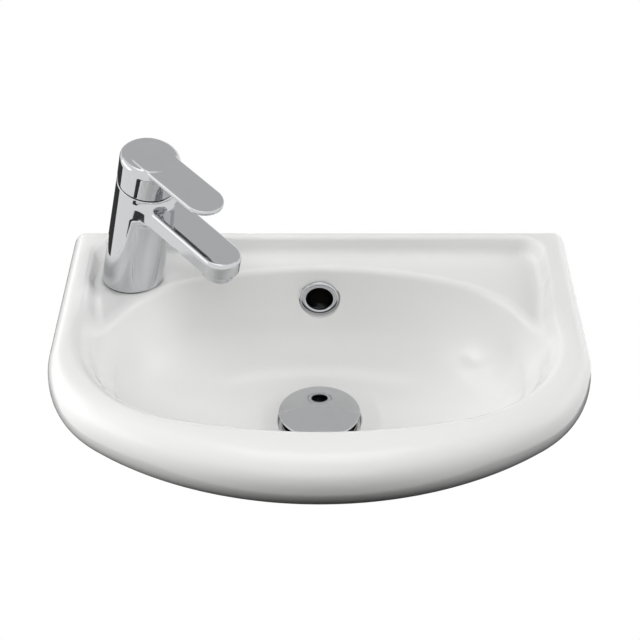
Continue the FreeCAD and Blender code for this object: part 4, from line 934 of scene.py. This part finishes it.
class BASIN_OT_tap_body(BasinOperator, bpy.types.Operator):
    """Make the tap's leaning body with its flat spout"""
    bl_idname = "basin.tap_body"
    bl_label = "Tap body"

    def execute(self, context):
        sizes = context.scene.basin_tap
        piece = tap_object("mixer_body", TapBodyField(sizes), (-27, -27, -10), (104, 27, 104), sizes,
                           finish_of("chrome"))
        seat(piece, "root", "chrome", "tap_body")
        return {"FINISHED"}


class BASIN_OT_tap_handle(BasinOperator, bpy.types.Operator):
    """Make the tap's collar and paddle lever"""
    bl_idname = "basin.tap_handle"
    bl_label = "Tap handle"

    def execute(self, context):
        sizes = context.scene.basin_tap
        piece = tap_object("paddle_handle", HandleField(sizes), (-26, -26, 100), (77, 26, 135), sizes,
                           finish_of("chrome"))
        seat(piece, "handle", "chrome", "handle")
        return {"FINISHED"}


class BASIN_OT_turned_chrome(BasinOperator, bpy.types.Operator):
    """Turn the overflow ring, the plug's cap and the aerator's ring"""
    bl_idname = "basin.turned_chrome"
    bl_label = "Turned chrome"

    def execute(self, context):
        trim = context.scene.basin_trim
        china = context.scene.basin_china
        self.make_ring(trim, china)
        self.make_cap(trim, china)
        self.make_aerator(trim, context.scene.basin_tap)
        return {"FINISHED"}

    def make_ring(self, trim, china):
        outer, hole, thick = trim.ring_radius / MM, trim.ring_hole / MM, trim.ring_thick / MM
        neck, deep = 11.9, 7
        outline = rounded_profile([
            (hole, -deep, 0), (neck, -deep, 0), (neck, 0, 0), (outer, 0, 0.3), (outer, thick, 1.5),
            (hole, thick, 1.4)])
        centre = (0, -OVERFLOW_RUN * MM, china.rim_height - OVERFLOW_DROP * MM)
        place = Matrix.Translation(centre) @ Matrix.Rotation(math.pi / 2, 4, "X")
        seat(turned_piece("overflow_trim", outline, place, "chrome"), "root", "chrome", "overflow_ring")

    def make_cap(self, trim, china):
        """Dome with a rounded rim over a hub for the stem and a short skirt; levels from the bowl's floor."""
        radius, crown = trim.cap_radius / MM, trim.cap_crown / MM
        edge, rounding, steps = 8.2, 0.8, 24
        dome = (radius * radius + crown * crown) / (2 * crown)
        reach = radius - rounding
        spread = [reach * (1 - step / steps) for step in range(steps + 1)]
        crest = [(x, edge + crown - dome + math.sqrt(dome * dome - x * x)) for x in spread]
        inside, under, foot = 29.5, 8, 6.6
        skirt = [(inside, under), (inside, foot + 0.2), (inside + 0.2, foot), (radius - 0.4, foot),
                 (radius, foot + 0.4)]
        rim = [(reach + rounding * math.cos(turn), crest[0][1] - rounding + rounding * math.sin(turn))
               for turn in (math.radians(15 * step) for step in range(6))]
        screw, screw_top, hub, hub_foot = 3.1, 6, 7, 4
        stem = [(0, screw_top), (screw, screw_top), (screw, hub_foot), (hub, hub_foot), (hub, under)]
        place = Matrix.Translation((0, -china.waste_run, china.rim_height - china.bowl_depth))
        outline = stem + skirt + rim + crest
        seat(turned_piece("plug_dome", outline, place, "chrome"), "plug", "chrome", "plug_cap")

    def make_aerator(self, trim, tap):
        radius = trim.aerator_radius / MM
        mouth, bore, thread, high, lip = 8.4, 9.4, 10.9, 6, 5
        outline = rounded_profile([
            (mouth, -high, 0.3), (radius, -high, 0.8), (radius, 0, 0.3), (thread, 0, 0), (thread, high, 0),
            (bore, high, 0), (bore, -lip, 0), (mouth, -lip, 0)])
        place = Matrix.Translation(TAP_FOOT * MM) @ tap_turned(tap).to_4x4()
        place = place @ Matrix.Translation((0, 0, tap.spout_level)) @ Matrix.Rotation(-tap.spout_rise, 4, "Y")
        place = place @ Matrix.Translation((tap.spout_reach - tap.spout_half, 0, -tap.spout_thick))
        piece = turned_piece("aerator_ring", outline, place, "chrome")
        seat(piece, "root", "chrome", "aerator_housing")


# A thread's ridge as a share of its pitch, and how much of it is sunk below the thread's radius
RIDGE_SHARE, RIDGE_SUNK = 0.45, 0.72


class BASIN_OT_threads(BasinOperator, bpy.types.Operator):
    """Cut the screw threads on the waste's tail and the tap's stud"""
    bl_idname = "basin.threads"
    bl_label = "Screw threads"

    def execute(self, context):
        trim = context.scene.basin_trim
        for name, node, radius, pitch, top, slot in (
                ("waste_thread", "waste_body", trim.waste_thread, trim.waste_pitch, -61, "chrome"),
                ("stud_thread", "mounting_stud", None, trim.stud_pitch, 40, "steel")):
            low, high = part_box(node)
            if radius is None:
                radius = (high[0] - low[0]) / 2
            ridge = pitch * RIDGE_SHARE
            foot = low[2] + pitch
            mesh = grown(name, coil_tree(), bpy.data.meshes.new(name), {
                "Radius": radius - ridge * RIDGE_SUNK, "Length": top * MM - foot, "Pitch": pitch,
                "Ridge": ridge, "Sides": 4, "Finish": finish_of(slot)})
            middle = [(a + b) / 2 for a, b in zip(low, high)]
            tidy_mesh(mesh, Matrix.Translation((middle[0], middle[1], foot)))
            seat(new_piece(name, mesh), "root", slot)
        return {"FINISHED"}


class BASIN_OT_spring(BasinOperator, bpy.types.Operator):
    """Coil the push waste's spring, which shortens as the plug goes down"""
    bl_idname = "basin.spring"
    bl_label = "Waste spring"

    def execute(self, context):
        trim = context.scene.basin_trim
        low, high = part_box("click_spring")
        wire = trim.spring_wire
        rise = high[2] - low[2] - 2 * wire
        mesh = grown("waste_spring", coil_tree(), bpy.data.meshes.new("waste_spring"), {
            "Radius": trim.spring_radius, "Length": rise, "Pitch": rise / trim.spring_turns,
            "Ridge": wire, "Sides": 12, "Finish": finish_of("steel")})
        mesh.polygons.foreach_set("use_smooth", [True] * len(mesh.polygons))
        axis = (0, -context.scene.basin_china.waste_run)
        tidy_mesh(mesh, Matrix.Translation((*axis, low[2] + wire)))
        piece = new_piece("waste_spring", mesh)
        seat(piece, "root", "steel", "click_spring")
        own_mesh(piece)
        return {"FINISHED"}


class BASIN_OT_inner_pieces(BasinOperator, bpy.types.Operator):
    """Give the cartridge, seals, waste and fixing pieces their finishes"""
    bl_idname = "basin.inner_pieces"
    bl_label = "Inner pieces"

    def execute(self, context):
        for part in frame["record"]["subparts"]:
            node = frame["nodes"][part["node"]]
            node.data.materials.clear()
            node.data.materials.append(finish_of(part["material_slot"]))
        return {"FINISHED"}


STAGE_AIM = (0, -0.15, 0.05)


class BASIN_OT_stage(BasinOperator, bpy.types.Operator):
    """Set the pale floor, the soft lamps and the camera"""
    bl_idname = "basin.stage"
    bl_label = "Stage"

    def execute(self, context):
        look = context.scene.basin_stage
        self.make_floor(look)
        self.make_cards()
        self.make_world(context.scene)
        self.make_lamps()
        self.make_camera(context.scene, look)
        context.scene.view_settings.view_transform = "Standard"
        return {"FINISHED"}

    def shown(self, tree):
        """One for the rays that show the backdrop, nought for those that light the basin."""
        path = add_node(tree, "ShaderNodeLightPath").outputs
        seen = add_node(tree, "ShaderNodeMath", {0: path["Is Camera Ray"], 1: path["Is Glossy Ray"]},
                        operation="MAXIMUM")
        either = add_node(tree, "ShaderNodeMath", {
            0: seen.outputs["Value"], 1: path["Is Transmission Ray"]}, operation="MAXIMUM")
        return either.outputs["Value"]

    def make_floor(self, look):
        material, tree = new_material("pale studio floor")
        pale = add_node(tree, "ShaderNodeBsdfDiffuse", {"Color": rgba(linear("#E8E8E8"))})
        white = add_node(tree, "ShaderNodeEmission", {"Color": rgba((1, 1, 1)), "Strength": 1.0})
        mixed = add_node(tree, "ShaderNodeMixShader", {
            0: self.shown(tree), 1: pale.outputs["BSDF"], 2: white.outputs["Emission"]})
        add_node(tree, "ShaderNodeOutputMaterial", {"Surface": mixed.outputs["Shader"]})
        self.panel("studio_floor", 0, -90, STAGE_AIM[2] + look.floor_drop, (12, 12), material)

    def facing(self, bearing, height, away):
        """Place that far from the basin, on a bearing from the front and at a height, both in degrees."""
        turn = Matrix.Rotation(math.radians(bearing), 4, "Z")
        tilt = Matrix.Rotation(math.radians(90 - height), 4, "X")
        return Matrix.Translation(STAGE_AIM) @ turn @ tilt @ Matrix.Translation((0, 0, away))

    def panel(self, name, bearing, height, away, size, material):
        mesh = bpy.data.meshes.new(name)
        wide, tall = size[0] / 2, size[1] / 2
        mesh.from_pydata([(-wide, -tall, 0), (wide, -tall, 0), (wide, tall, 0), (-wide, tall, 0)], [],
                         [(0, 1, 2, 3)])
        mesh.materials.append(material)
        panel = new_piece(name, mesh)
        panel.matrix_world = self.facing(bearing, height, away)
        return panel

    def make_cards(self):
        """Cards hidden from the camera: one shades the underside, the others show only in reflections."""
        tones = {}
        for tone, strength in (("black", 0.0), ("dark", 0.05), ("grey", 0.62), ("bright", 1.7)):
            tones[tone], tree = new_material(tone + " studio card")
            glow = add_node(tree, "ShaderNodeEmission", {"Color": rgba((1, 1, 1)), "Strength": strength})
            add_node(tree, "ShaderNodeOutputMaterial", {"Surface": glow.outputs["Emission"]})
        for name, bearing, height, away, size, tone in (
                ("shade_below", 0, -90, 0.27, (3.6, 3.2), "black"),
                ("card_under", 0, -90, 0.26, (1.0, 0.7), "dark"),
                ("card_behind", -146, -18, 0.9, (0.95, 0.9), "dark"),
                ("card_back", 170, 42, 1.5, (2.6, 1.0), "grey"),
                ("card_top", 180, 76, 1.5, (0.55, 0.6), "bright"),
                ("card_left", -90, 35, 1.5, (1.2, 0.8), "bright")):
            card = self.panel(name, bearing, height, away, size, tones[tone])
            card.visible_camera = False
            card.visible_glossy = name != "shade_below"
            card.visible_diffuse = card.visible_shadow = name == "shade_below"

    def make_world(self, scene):
        world = bpy.data.worlds.new("studio")
        scene.world = world
        world.use_nodes = True
        tree = world.node_tree
        tree.nodes.clear()
        glow = add_node(tree, "ShaderNodeBackground", {
            "Color": rgba((1, 1, 1)), "Strength": self.shown(tree)})
        add_node(tree, "ShaderNodeOutputWorld", {"Surface": glow.outputs["Background"]})

    def make_lamps(self):
        """Soft lamps round the basin, each on its bearing from the front and its height, in degrees."""
        for name, bearing, height, power in (
                ("left_lamp", -90, 13, 37), ("right_lamp", 90, 20, 19), ("front_lamp", 0, 50, 13),
                ("top_lamp", 0, 75, 5), ("back_lamp", 180, 57, 11)):
            lamp = bpy.data.lights.new(name, "AREA")
            lamp.size = 1.0
            lamp.energy = power
            holder = new_piece(name, lamp)
            holder.matrix_world = self.facing(bearing, height, 1.9)
            holder.visible_glossy = False

    def make_camera(self, scene, look):
        camera = bpy.data.cameras.new("photo_camera")
        camera.lens = look.lens
        camera.sensor_width = 36
        camera.clip_start = 0.01
        holder = new_piece("photo_camera", camera)
        holder.location = (0.0004, -1.098, 0.781)
        holder.rotation_euler = (look.pitch, 0, 0)
        scene.camera = holder


class BASIN_PT_panel(bpy.types.Panel):
    bl_idname = "BASIN_PT_panel"
    bl_label = "Hand basin"
    bl_space_type = "VIEW_3D"
    bl_region_type = "UI"
    bl_category = "Hand basin"

    def draw(self, context):
        layout = self.layout
        for operator in OPERATORS:
            layout.operator(operator.bl_idname)
        for key, title, group in GROUPS:
            box = layout.box()
            box.label(text=title)
            for prop in group.__annotations__:
                box.prop(getattr(context.scene, key), prop)


GROUPS = (
    ("basin_china", "China", ChinaSizes),
    ("basin_tap", "Tap", TapSizes),
    ("basin_trim", "Trim", TrimSizes),
    ("basin_finishes", "Finishes", Finishes),
    ("basin_stage", "Stage", StageLook),
)
OPERATORS = (
    BASIN_OT_china,
    BASIN_OT_tap_body,
    BASIN_OT_tap_handle,
    BASIN_OT_turned_chrome,
    BASIN_OT_threads,
    BASIN_OT_spring,
    BASIN_OT_inner_pieces,
    BASIN_OT_stage,
)


def register():
    for key, title, group in GROUPS:
        bpy.utils.register_class(group)
        setattr(bpy.types.Scene, key, PointerProperty(type=group))
    for item in (*OPERATORS, BASIN_PT_panel):
        bpy.utils.register_class(item)


def unregister():
    for item in reversed((*OPERATORS, BASIN_PT_panel)):
        bpy.utils.unregister_class(item)
    for key, title, group in reversed(GROUPS):
        delattr(bpy.types.Scene, key)
        bpy.utils.unregister_class(group)


def main():
    register()
    bpy.ops.basin.inner_pieces()
    bpy.ops.basin.china()
    bpy.ops.basin.tap_body()
    bpy.ops.basin.tap_handle()
    bpy.ops.basin.turned_chrome()
    bpy.ops.basin.threads()
    bpy.ops.basin.spring()
    bpy.ops.basin.stage()


if __name__ == "__main__":
    main()
